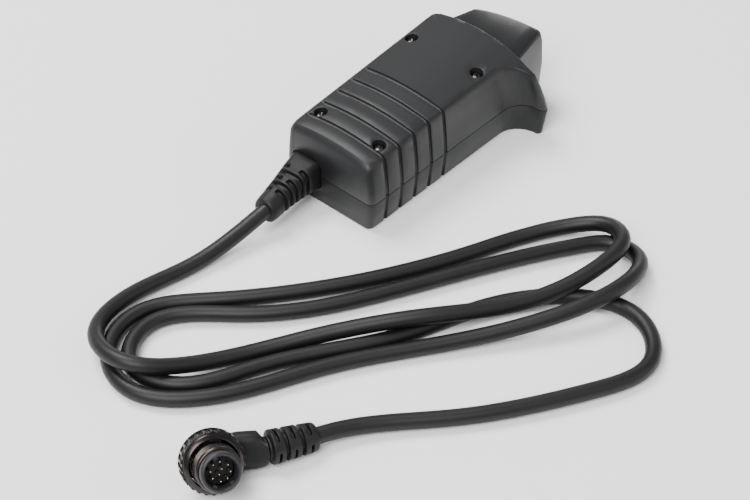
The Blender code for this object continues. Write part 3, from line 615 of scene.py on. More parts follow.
class Form:
    """One mesh that is being made, in a working frame's millimetres."""

    def __init__(self, name: str, outline: Sequence[Sequence[float]], filled: bool = True) -> None:
        """Start from a flat circle whose points are moved onto the first outline.

        Args:
            name: The piece's name.
            outline: Its first section, as points in space.
            filled: False for a tube or a ring.
        """
        Form.deselect()
        bpy.ops.mesh.primitive_circle_add(
            vertices=len(outline), radius=1.0, fill_type="NGON" if filled else "NOTHING"
        )
        self.obj = bpy.context.object
        self.obj.name = name
        self.obj.data.name = name
        self.outline = [Vector(point) for point in outline]
        bpy.ops.object.mode_set(mode="EDIT")
        mesh = bmesh.from_edit_mesh(self.obj.data)
        mesh.verts.ensure_lookup_table()
        for vert, point in zip(mesh.verts, self.outline):
            vert.co = point
        bmesh.update_edit_mesh(self.obj.data)

    @staticmethod
    def deselect() -> None:
        """Leave edit mode with nothing selected."""
        if bpy.context.object and bpy.context.object.mode != "OBJECT":
            bpy.ops.object.mode_set(mode="OBJECT")
        bpy.ops.object.select_all(action="DESELECT")

    @classmethod
    def of_node(cls, name: str, node: str) -> "Form":
        """A merged copy of a CAD node, in millimetres of the row frame.

        Args:
            name: The new piece's name.
            node: The CAD node.

        Returns:
            The form, in edit mode.
        """
        cls.deselect()
        form = cls.__new__(cls)
        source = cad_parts[node]
        form.obj = bpy.data.objects.new(name, source.data.copy())
        bpy.context.scene.collection.objects.link(form.obj)
        form.obj.data.name = name
        form.obj.data.transform(Matrix.Scale(1 / MM, 4))
        form.outline = []
        form.obj.select_set(True)
        bpy.context.view_layer.objects.active = form.obj
        bpy.ops.object.mode_set(mode="EDIT")
        bpy.ops.mesh.select_all(action="SELECT")
        bpy.ops.mesh.remove_doubles(threshold=NODE_MERGE)
        bpy.ops.mesh.dissolve_limited(angle_limit=math.radians(FLAT_ANGLE))
        return form

    def slice_evenly(self, axis: int, low: float, high: float, pitch: float) -> None:
        """Cut the mesh by evenly spaced planes, so that its smooth faces shade evenly.

        Args:
            axis: 0 for x or 1 for y.
            low: The first plane's place.
            high: No plane is beyond this.
            pitch: Between planes.
        """
        normal = (1.0 - axis, float(axis), 0.0)
        bpy.context.view_layer.objects.active = self.obj
        bpy.ops.object.mode_set(mode="EDIT")
        for step in range(int((high - low) / pitch) + 1):
            bpy.ops.mesh.select_all(action="SELECT")
            spot = low + step * pitch
            bpy.ops.mesh.bisect(plane_co=(spot * normal[0], spot * normal[1], 0.0), plane_no=normal)
        self.leave_edit()

    def extend(self, outline: Sequence[Sequence[float]]) -> None:
        """Extrude the last section and carry its points to the next outline.

        Args:
            outline: As many points as the last one, in the same order.
        """
        bpy.ops.mesh.extrude_region_move(TRANSFORM_OT_translate={"value": (0.0, 0.0, 0.0)})
        mesh = bmesh.from_edit_mesh(self.obj.data)
        target = [Vector(point) for point in outline]
        olds = np.array([tuple(point) for point in self.outline])
        for vert in mesh.verts:
            if vert.select:
                gaps = np.linalg.norm(olds - np.array(tuple(vert.co)), axis=1)
                vert.co = target[int(gaps.argmin())]
        bmesh.update_edit_mesh(self.obj.data)
        self.outline = target

    def close_ring(self) -> None:
        """Join a ring's last section, which lies on its first, to it."""
        bpy.ops.mesh.select_all(action="SELECT")
        bpy.ops.mesh.remove_doubles(threshold=RING_MERGE)
        self.face_outwards()

    def face_outwards(self) -> None:
        """Turn every face outwards."""
        bpy.ops.mesh.select_all(action="SELECT")
        bpy.ops.mesh.normals_make_consistent(inside=False)

    def pick_faces(self, test: FaceTest) -> int:
        """Select the faces that pass a test of their middle and normal.

        Args:
            test: Says whether a face is wanted.

        Returns:
            How many faces are selected.
        """
        bpy.ops.mesh.select_all(action="DESELECT")
        bpy.context.tool_settings.mesh_select_mode = (False, False, True)
        mesh = bmesh.from_edit_mesh(self.obj.data)
        count = 0
        for face in mesh.faces:
            if test(face.calc_center_median(), face.normal):
                face.select_set(True)
                count += 1
        bmesh.update_edit_mesh(self.obj.data)
        return count

    def sink(self, depth: float, axis: Callable[[Vector], Vector]) -> None:
        """Extrude the selected faces towards an axis.

        Args:
            depth: How far.
            axis: Gives the axis point that a vertex moves towards.
        """
        bpy.ops.mesh.extrude_region_move(TRANSFORM_OT_translate={"value": (0.0, 0.0, 0.0)})
        mesh = bmesh.from_edit_mesh(self.obj.data)
        for vert in mesh.verts:
            if vert.select:
                vert.co += (axis(vert.co) - vert.co).normalized() * depth
        bmesh.update_edit_mesh(self.obj.data)

    def leave_edit(self) -> None:
        """Return to object mode, with vertex selection again."""
        bpy.context.tool_settings.mesh_select_mode = (True, False, False)
        bpy.ops.object.mode_set(mode="OBJECT")

    def apply(self, kind: str, **settings: object) -> None:
        """Add a modifier and apply it.

        Args:
            kind: The modifier's type.
            settings: Its own properties, by name.
        """
        self.leave_edit_if_needed()
        bpy.context.view_layer.objects.active = self.obj
        modifier = self.obj.modifiers.new(kind.lower(), kind)
        for key, value in settings.items():
            setattr(modifier, key, value)
        bpy.ops.object.modifier_apply(modifier=modifier.name)

    def leave_edit_if_needed(self) -> None:
        """Return to object mode from edit mode."""
        if self.obj.mode == "EDIT":
            self.leave_edit()

    def soften(self, width: float, segments: int = 2, angle: float = 32.0) -> None:
        """Round every sharp edge.

        Args:
            width: Of the rounding, in millimetres.
            segments: Faces across it.
            angle: Edges flatter than this are left, in degrees.
        """
        self.apply(
            "BEVEL",
            width=width,
            segments=segments,
            limit_method="ANGLE",
            angle_limit=math.radians(angle),
            use_clamp_overlap=True,
        )

    def even_shading(self) -> None:
        """Let the large faces lead the shading of their edges."""
        self.apply("WEIGHTED_NORMAL", mode="FACE_AREA", weight=FACE_WEIGHT, keep_sharp=True)

    def cut(self, tool: "Form", operation: str = "DIFFERENCE") -> None:
        """Cut or join another form, which is used up.

        Args:
            tool: The other form.
            operation: The Boolean modifier's operation.
        """
        tool.leave_edit_if_needed()
        self.apply("BOOLEAN", operation=operation, solver="EXACT", object=tool.obj)
        bpy.data.objects.remove(tool.obj, do_unlink=True)

    def settle(
        self,
        place: Matrix,
        finish: Finish,
        body: Body,
        slot: Slot,
        nodes: Sequence[str],
        smooth_angle: float = 35.0,
    ) -> bpy.types.Object:
        """Finish the piece: smooth it, put its place in its mesh, dress it and hang it on a body.

        Args:
            place: The working frame.
            finish: The surface.
            body: What it rides on.
            slot: A material slot; not used.
            nodes: CAD nodes that it stands for.
            smooth_angle: Edges sharper than this stay crisp, in degrees.

        Returns:
            The finished object.
        """
        Form.deselect()
        self.obj.select_set(True)
        bpy.context.view_layer.objects.active = self.obj
        self.obj.matrix_world = place
        bpy.ops.object.transform_apply(location=True, rotation=True, scale=True)
        bpy.ops.object.shade_smooth_by_angle(angle=math.radians(smooth_angle))
        Finishes.dress(self.obj, finish)
        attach(self.obj, body.value)
        if nodes:
            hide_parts(*nodes)
        LOG.info("%s: %d faces", self.obj.name, len(self.obj.data.polygons))
        return self.obj


def turned_form(name: str, profile: Sequence[tuple[float, float]], sides: int, ring: bool) -> Form:
    """A shape turned round z.

    Args:
        name: The piece's name.
        profile: Pairs of height and radius.
        sides: Facets round it.
        ring: True if the profile closes on itself and leaves the middle open.

    Returns:
        The form, in edit mode.
    """
    steps = list(profile)
    if ring:
        steps.append(profile[0])
    sections = [[(x, y, height) for x, y in circle(radius, sides)] for height, radius in steps]
    form = Form(name, sections[0], filled=not ring)
    for section in sections[1:]:
        form.extend(section)
    if ring:
        form.close_ring()
    else:
        form.face_outwards()
    return form


def keep_shape(node: str, finish: Finish) -> None:
    """Give a CAD node that stays its finish."""
    Finishes.dress(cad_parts[node], finish)
    LOG.info("%s: kept, dressed in %s", node, finish.name)


# ---------------------------------------------------------------- studio


@dataclass(frozen=True)
class Softbox:
    """A square area light: where it hangs and its side in metres, and its power in watts."""

    name: str
    place: tuple[float, float, float]
    size: float
    power: float


@dataclass
class Studio:
    """Camera, floor and soft lights, in metres and degrees."""

    azimuth: float = 41.55
    elevation: float = 43.0
    lens: float = 108.0
    sensor: float = 36.0
    distance: float = 0.5208
    aim: tuple[float, float, float] = (0.01384, -0.02901, 0.0)
    floor_size: float = 4.0
    sky: float = 0.6
    near_clip: float = 0.01
    light_aim: tuple[float, float, float] = (0.015, -0.02, 0.01)
    softboxes: tuple[Softbox, ...] = (
        Softbox("overhead_softbox", (-0.42, -0.02, 0.78), 0.42, 9.0),
        Softbox("back_strip", (-0.62, 1.05, 0.22), 0.25, 1.6),
        Softbox("front_key", (0.25, -0.8, 1.0), 0.7, 19.0),
        Softbox("side_fill", (0.95, 0.35, 0.55), 0.6, 2.0),
    )

    def build(self) -> None:
        """Set the whole studio up."""
        self.camera()
        self.floor()
        self.lights()

    def forward(self) -> Vector:
        """The camera's viewing direction.

        Returns:
            A vector of length 1.
        """
        turn = math.radians(self.azimuth)
        tip = math.radians(self.elevation)
        level = math.cos(tip)
        return Vector((-math.sin(turn) * level, math.cos(turn) * level, -math.sin(tip)))

    def camera(self) -> None:
        """Place the camera and make it the scene's."""
        data = bpy.data.cameras.new("camera")
        data.lens = self.lens
        data.sensor_width = self.sensor
        data.clip_start = self.near_clip
        camera = bpy.data.objects.new("camera", data)
        bpy.context.scene.collection.objects.link(camera)
        forward = self.forward()
        camera.location = Vector(self.aim) - forward * self.distance
        camera.rotation_euler = forward.to_track_quat("-Z", "Y").to_euler()
        bpy.context.scene.camera = camera

    def floor(self) -> None:
        """Lay the pale floor."""
        Form.deselect()
        bpy.ops.mesh.primitive_plane_add(size=self.floor_size, location=(0.0, 0.0, 0.0))
        floor = bpy.context.object
        floor.name = "floor"
        Finishes.dress(floor, PaleFloor())

    def lights(self) -> None:
        """Hang the softboxes and light the sky."""
        for softbox in self.softboxes:
            self.hang(softbox)
        world = bpy.data.worlds.new("sky")
        world.use_nodes = True
        backdrop = world.node_tree.nodes["Background"]
        backdrop.inputs["Color"].default_value = (1.0, 1.0, 1.0, 1.0)
        backdrop.inputs["Strength"].default_value = self.sky
        bpy.context.scene.world = world

    def hang(self, softbox: Softbox) -> None:
        """Add one softbox, turned to face the object.

        Args:
            softbox: The light.
        """
        data = bpy.data.lights.new(softbox.name, "AREA")
        data.size = softbox.size
        data.energy = softbox.power
        light = bpy.data.objects.new(softbox.name, data)
        bpy.context.scene.collection.objects.link(light)
        light.location = softbox.place
        towards = Vector(self.light_aim) - Vector(softbox.place)
        light.rotation_euler = towards.to_track_quat("-Z", "Y").to_euler()


# ---------------------------------------------------------------- cord


@dataclass
class Cord:
    """The free cord, from the grip's strain relief to the plug's."""

    diameter: float = 3.8
    length: float = 0.81
    samples: int = 420
    sides: int = 6
    tuck: float = 1.4
    floor_gap: float = 0.05
    fine_steps: int = 40
    route: tuple[tuple[float, float, float], ...] = (
        (-5.8, -17.0, 6.00),
        (-8.6, -37.1, 2.10),
        (-11.6, -54.7, 2.80),
        (-6.3, -69.4, 4.80),
        (5.8, -71.7, 6.60),
        (14.9, -60.0, 3.40),
        (28.1, -37.1, 3.10),
        (44.8, -17.4, 6.00),
        (57.4, 1.4, 4.90),
        (63.9, 21.4, 6.55),
        (62.5, 30.6, 6.61),
        (55.9, 34.0, 4.89),
        (48.6, 30.0, 3.04),
        (35.9, 7.1, 2.00),
        (2.4, -42.8, 2.00),
        (-6.7, -55.8, 1.90),
        (-3.9, -68.1, 1.90),
        (9.0, -73.9, 1.90),
        (21.3, -66.3, 1.90),
        (35.8, -41.0, 2.00),
        (52.1, -16.8, 2.40),
        (64.4, 0.9, 4.60),
        (71.0, 20.6, 5.54),
        (65.3, 32.3, 2.55),
        (59.3, 32.5, 1.94),
        (53.4, 26.6, 1.95),
        (29.3, -16.7, 2.00),
        (10.8, -41.2, 1.90),
        (-2.4, -58.0, 1.90),
        (3.4, -68.4, 1.90),
        (13.8, -67.2, 1.90),
        (25.1, -50.1, 1.90),
        (42.0, -22.4, 1.90),
        (52.6, 1.3, 1.90),
        (79.2, 16.3, 1.90),
        (88.0, 7.4, 1.90),
        (83.9, -7.9, 2.10),
        (65.7, -34.9, 2.10),
        (50.8, -53.8, 2.90),
        (49.0, -57.8, 3.25),
    )

    def centre_line(self) -> np.ndarray:
        """The smooth curve through the route.

        Returns:
            Evenly spaced points on it, in millimetres.
        """
        points = np.array(self.route, float)
        gaps = np.linalg.norm(np.diff(points, axis=0), axis=1)
        knots = np.concatenate([[0.0], np.cumsum(gaps)])
        step = np.diff(knots)
        size = len(knots)
        left = np.eye(size)
        right = np.zeros((size, 3))
        for i in range(1, size - 1):
            left[i, i - 1 : i + 2] = step[i - 1], 2 * (step[i - 1] + step[i]), step[i]
            after = (points[i + 1] - points[i]) / step[i]
            before = (points[i] - points[i - 1]) / step[i - 1]
            right[i] = 6 * (after - before)
        bend = np.linalg.solve(left, right)

        def at(places: np.ndarray) -> np.ndarray:
            """Points of the spline.

            Args:
                places: Distances along its knots.

            Returns:
                A point for each distance.
            """
            span = np.clip(np.searchsorted(knots, places, side="right") - 1, 0, size - 2)
            length = step[span][:, None]
            a = (knots[span + 1][:, None] - places[:, None]) / length
            b = 1 - a
            curve = a * points[span] + b * points[span + 1]
            return curve + ((a**3 - a) * bend[span] + (b**3 - b) * bend[span + 1]) * length**2 / 6

        fine = np.linspace(0, knots[-1], self.fine_steps * size)
        run = np.cumsum(np.linalg.norm(np.diff(at(fine), axis=0), axis=1))
        run = np.concatenate([[0.0], run])
        line = at(np.interp(np.linspace(0, run[-1], self.samples), run, fine))
        line[:, 2] = np.maximum(line[:, 2], self.diameter / 2 + self.floor_gap)
        return line

    def build(self, riders: Sequence[bpy.types.Object]) -> None:
        """Make the cord.

        Args:
            riders: The plug's pieces, which are on its end; not used.
        """
        line = self.centre_line()
        start = line[0] + (line[0] - line[1]) / np.linalg.norm(line[0] - line[1]) * self.tuck
        end = line[-1] + (line[-1] - line[-2]) / np.linalg.norm(line[-1] - line[-2]) * self.tuck
        line = np.vstack([start, line, end])
        data = bpy.data.curves.new("cord_jacket", "CURVE")
        data.dimensions = "3D"
        data.bevel_depth = self.diameter / 2 * MM
        data.bevel_resolution = self.sides
        data.use_fill_caps = True
        spline = data.splines.new("POLY")
        spline.points.add(len(line) - 1)
        place = grip_frame()
        for point, spot in zip(spline.points, line):
            point.co = (*(place @ Vector(spot)), 1.0)
        spline.use_smooth = True
        obj = bpy.data.objects.new("cord_jacket", data)
        bpy.context.scene.collection.objects.link(obj)
        Finishes.dress(obj, JACKET)
        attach(obj, Body.HANDLE.value)
        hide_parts("cord")
        LOG.info("cord_jacket: %d points", len(line))


# ---------------------------------------------------------------- grip


@dataclass
class Housing:
    """The two shells and the four screws that hold them."""

    edge_round: float = 0.28
    slice_low: float = -24.0
    slice_high: float = 33.0
    slice_pitch: float = 2.3
    seam_height: float = 8.35
    seam_drop: float = 0.08
    screw_spots: tuple[tuple[float, float], ...] = (
        (-9.1, 7.05),
        (9.1, 7.05),
        (-10.2, 40.7),
        (10.2, 40.7),
    )
    screw_turns: tuple[float, ...] = (18.0, 62.0, 40.0, 77.0)
    head_radius: float = 1.5
    shank_radius: float = 0.9
    head_height: float = 1.1
    head_lift: float = 0.35
    head_steps: tuple[tuple[float, float], ...] = ((0.0, 1.0), (0.35, 1.0), (0.62, 0.9), (0.82, 0.66))
    crown_share: float = 0.36
    tip_radius: float = 0.3
    tip_length: float = 0.9
    screw_sides: int = 32
    screw_round: float = 0.05
    recess_depth: float = 0.75
    recess_rise: float = 0.5
    recess_foot: tuple[float, float] = (0.5, 0.3)
    recess_mouth: tuple[float, float] = (2.1, 0.56)
    seam_reach: float = 0.02
    crisp_angle: float = 42.0

    def build(self) -> None:
        """Make the shells and screws."""
        self.shell("upper_moulding", "upper_shell", self.seam_height, -self.seam_drop)
        self.shell("lower_moulding", "lower_shell", self.seam_height, 0.0)
        for index, turn in enumerate(self.screw_turns):
            self.screw(index, turn)

    def shell(self, name: str, node: str, seam: float, move: float) -> None:
        """Refine one shell.

        Args:
            name: The piece's name.
            node: The CAD node that it stands for.
            seam: Height of the face at the parting line.
            move: How far that face is moved, to narrow the seam.
        """
        form = Form.of_node(name, node)
        mesh = bmesh.from_edit_mesh(form.obj.data)
        for vert in mesh.verts:
            if abs(vert.co.z - seam) < self.seam_reach:
                vert.co.z += move
        bmesh.update_edit_mesh(form.obj.data)
        form.soften(self.edge_round, segments=2, angle=40.0)
        form.slice_evenly(1, self.slice_low, self.slice_high, self.slice_pitch)
        form.even_shading()
        form.settle(row_frame(), SHELL_PLASTIC, Body.HANDLE, Slot.SHELL, [node], self.crisp_angle)

    def screw(self, index: int, turn: float) -> None:
        """Make one cross-head screw where its CAD node is.

        Args:
            index: Which screw, from 0.
            turn: How far its cross is turned, in degrees.
        """
        node = f"housing_screw_{index + 1}"
        low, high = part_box(node)
        top = high.z / MM + self.head_lift
        tip = low.z / MM
        seat = top - self.head_height
        profile = [
            (tip, self.tip_radius),
            (tip + self.tip_length, self.shank_radius),
            (seat, self.shank_radius),
        ]
        profile += [(seat + rise, self.head_radius * share) for rise, share in self.head_steps]
        profile.append((top, self.head_radius * self.crown_share))
        form = turned_form(f"{node}_turned", profile, self.screw_sides, ring=False)
        for quarter in (0.0, 90.0):
            form.cut(self.cross_bar(top, turn + quarter))
        form.soften(self.screw_round, segments=2, angle=38.0)
        x, y = self.screw_spots[index]
        place = grip_frame() @ Matrix.Translation((x, y, 0.0))
        form.settle(place, SCREW_STEEL, Body.HANDLE, Slot.SCREW, [node])

    def cross_bar(self, top: float, turn: float) -> Form:
        """One bar of the cross recess, which narrows as it goes down.

        Args:
            top: Height of the head's top.
            turn: Its angle in degrees.

        Returns:
            The cutter.
        """
        spin = Matrix.Rotation(math.radians(turn), 3, "Z")
        sections = []
        foot = (top - self.recess_depth, *self.recess_foot)
        mouth = (top + self.recess_rise, *self.recess_mouth)
        for height, length, width in (foot, mouth):
            corners = ((length, width), (-length, width), (-length, -width), (length, -width))
            sections.append([spin @ Vector((x / 2, y / 2, height)) for x, y in corners])
        bar = Form("cross_bar", sections[0])
        bar.extend(sections[1])
        bar.face_outwards()
        return bar


@dataclass
class Trigger:
    """The end button with its plunger."""

    edge_round: float = 0.35
    slice_low: float = -14.0
    slice_high: float = 8.0
    slice_pitch: float = 1.7
    crisp_angle: float = 50.0

    def build(self) -> None:
        """Refine the button from its CAD node."""
        form = Form.of_node("trigger_moulding", "trigger_button")
        form.soften(self.edge_round, segments=3, angle=30.0)
        form.slice_evenly(0, self.slice_low, self.slice_high, self.slice_pitch)
        form.even_shading()
        form.settle(
            row_frame(), TRIGGER_PLASTIC, Body.TRIGGER, Slot.TRIGGER, ["trigger_button"], self.crisp_angle
        )


@dataclass
class SwitchWorks:
    """The pieces inside the grip, which keep their CAD shapes."""

    def build(self) -> None:
        """Dress every inner piece."""
        keep_shape("trigger_spring", SPRING_WIRE)
        keep_shape("contact_block", CREAM_RESIN)
        for node in ("common_leaf", "half_press_leaf", "full_press_leaf"):
            keep_shape(node, BRONZE)
        for node in ("block_screw_1", "block_screw_2"):
            keep_shape(node, SCREW_STEEL)
        keep_shape("inner_wire_1", RED_WIRE)
        keep_shape("inner_wire_2", WHITE_WIRE)
        keep_shape("inner_wire_3", BLUE_WIRE)


@dataclass
class Tail:
    """A ribbed strain relief: a tapering body whose slots are sunk between its ribs."""

    name: str
    node: str
    start: Vector
    direction: Vector
    sag: float
    stations: tuple[tuple[float, float, float, float], ...]
    grooves: tuple[tuple[float, float], ...]
    slots: tuple[tuple[float, float], ...]
    groove_arc: tuple[float, float]
    slot_arcs: tuple[tuple[float, float], ...]
    depth: float
    finish: Finish
    place: Matrix
    sag_power: float = 1.3
    end_facing: float = 0.8
    rib_round: float = 0.14
    crisp_angle: float = 40.0

    def axes(self) -> tuple[Vector, Vector, Vector]:
        """The tail's own directions.

        Returns:
            Along, to the side and up.
        """
        along = self.direction.normalized()
        side = Vector((0.0, 0.0, 1.0)).cross(along).normalized()
        return along, side, along.cross(side)

    def centre(self, distance: float) -> Vector:
        """The middle of the section at a distance from the start."""
        along, _, up = self.axes()
        return self.start + along * distance + up * (self.sag * max(0.0, distance) ** self.sag_power)

    def section(self, distance: float, width: float, height: float, radius: float) -> list[Vector]:
        """The outline at one place.

        Args:
            distance: From the start.
            width: Across it.
            height: Up it.
            radius: Of its corners.

        Returns:
            Its points.
        """
        _, side, up = self.axes()
        middle = self.centre(distance)
        return [middle + side * u + up * v for u, v in rounded(width, height, radius)]

    def where(self, point: Vector) -> tuple[float, float]:
        """Where a point is on the tail.

        Args:
            point: The point.

        Returns:
            How far along it is, and its angle round the axis in degrees.
        """
        along, side, up = self.axes()
        distance = (point - self.start).dot(along)
        offset = point - self.centre(distance)
        return distance, math.degrees(math.atan2(offset.dot(up), offset.dot(side)))

    @staticmethod
    def within(angle: float, limits: tuple[float, float]) -> bool:
        """Whether an angle lies between two others, going round counterclockwise."""
        return (angle - limits[0]) % 360.0 <= (limits[1] - limits[0]) % 360.0

    def build(self) -> bpy.types.Object:
        """Make the tail.

        Returns:
            The finished object.
        """
        form = Form(self.name, self.section(*self.stations[0]))
        for station in self.stations[1:]:
            form.extend(self.section(*station))
        form.face_outwards()

        def sunk(middle: Vector, normal: Vector) -> bool:
            """Whether a face is the floor of a groove or a slot.

            Args:
                middle: The face's middle.
                normal: The way it faces.

            Returns:
                True for a floor.
            """
            distance, angle = self.where(middle)
            along = self.axes()[0]
            if abs(normal.dot(along)) > self.end_facing:
                return False
            for low, high in self.grooves:
                if low < distance < high:
                    return self.within(angle, self.groove_arc)
            for low, high in self.slots:
                if low < distance < high:
                    return any(self.within(angle, arc) for arc in self.slot_arcs)
            return False

        count = form.pick_faces(sunk)
        form.sink(self.depth, lambda point: self.centre(self.where(point)[0]))
        form.leave_edit()
        form.soften(self.rib_round, segments=2, angle=35.0)
        LOG.info("%s: %d faces sunk", self.name, count)
        return form.settle(
            self.place, self.finish, Body.HANDLE, Slot.SOFT, [self.node], self.crisp_angle
        )


def station_run(
    marks: Sequence[float], sizes: Sequence[tuple[float, float, float, float]]
) -> tuple[tuple[float, float, float, float], ...]:
    """Sections at the marks, with sizes read off a short table.

    Args:
        marks: Distances of the sections.
        sizes: Rows of distance, width, height and corner radius.

    Returns:
        A row for each mark.
    """
    table = np.array(sizes, float)
    rows = []
    for mark in marks:
        values = [float(np.interp(mark, table[:, 0], table[:, i])) for i in (1, 2, 3)]
        rows.append((mark, *values))
    return tuple(rows)


def grip_tail() -> Tail:
    """The strain relief at the grip.

    Returns:
        The tail, not yet built.
    """
    grooves = ((6.15, 7.45), (9.75, 11.05))
    slots = ((4.3, 5.4), (8.05, 9.15), (11.65, 12.75))
    marks = [-2.9, -1.6, -0.9, 0.3, 1.6, 3.2]
    marks += sorted(edge for pair in grooves + slots for edge in pair)
    marks += [13.5, 14.6, 15.5, 16.0, 16.3]
    sizes = (
        (-2.9, 8.5, 7.9, 1.5),
        (0.3, 8.55, 7.95, 1.6),
        (4.4, 8.1, 7.6, 2.4),
        (9.0, 7.35, 7.0, 3.0),
        (13.5, 6.7, 6.5, 3.1),
        (15.5, 6.4, 6.4, 3.15),
        (16.0, 6.15, 6.15, 3.05),
        (16.3, 5.6, 5.6, 2.78),
    )
    return Tail(
        name="grip_strain_relief",
        node="handle_strain_relief",
        start=Vector((-6.9, 0.0, 8.1)),
        direction=Vector((1.1, -16.3, 0.0)),
        sag=-0.0557,
        stations=station_run(marks, sizes),
        grooves=grooves,
        slots=slots,
        groove_arc=(-45.0, 140.0),
        slot_arcs=((-45.0, 84.0), (104.0, 140.0)),
        depth=1.05,
        finish=RELIEF_RUBBER,
        place=grip_frame(),
    )


def plug_tail() -> Tail:
    """The strain relief at the plug.

    Returns:
        The tail, not yet built.
    """
    grooves = ((3.05, 4.0), (6.7, 7.65))
    slots = ((1.5, 2.1), (5.1, 5.7), (8.9, 9.5))
    marks = [0.0, 0.3, 0.55, 0.8]
    marks += sorted(edge for pair in grooves + slots for edge in pair)
    marks += [10.1, 10.6, 10.9, 11.1]
    sizes = (
        (0.0, 5.1, 5.1, 2.52),
        (0.3, 5.2, 5.2, 2.58),
        (0.55, 7.2, 7.2, 3.56),
        (0.8, 7.6, 7.6, 3.76),
        (3.1, 7.4, 7.4, 3.66),
        (6.7, 7.0, 7.0, 3.46),
        (10.1, 6.4, 6.4, 3.16),
        (10.6, 6.15, 6.15, 3.04),
        (10.9, 5.7, 5.7, 2.82),
        (11.1, 5.1, 5.1, 2.52),
    )
    return Tail(
        name="plug_tail_relief",
        node="plug_strain_relief",
        start=Vector((12.4, -1.15, -3.2)),
        direction=Vector((0.9929, -0.0551, -0.1044)),
        sag=0.0,
        stations=station_run(marks, sizes),
        grooves=grooves,
        slots=slots,
        groove_arc=(-180.0, 179.9),
        slot_arcs=((5.0, 70.0), (105.0, 160.0), (-75.0, -20.0), (-165.0, -110.0)),
        depth=1.15,
        finish=RELIEF_RUBBER,
        place=plug_frame(),
    )


# ---------------------------------------------------------------- plug


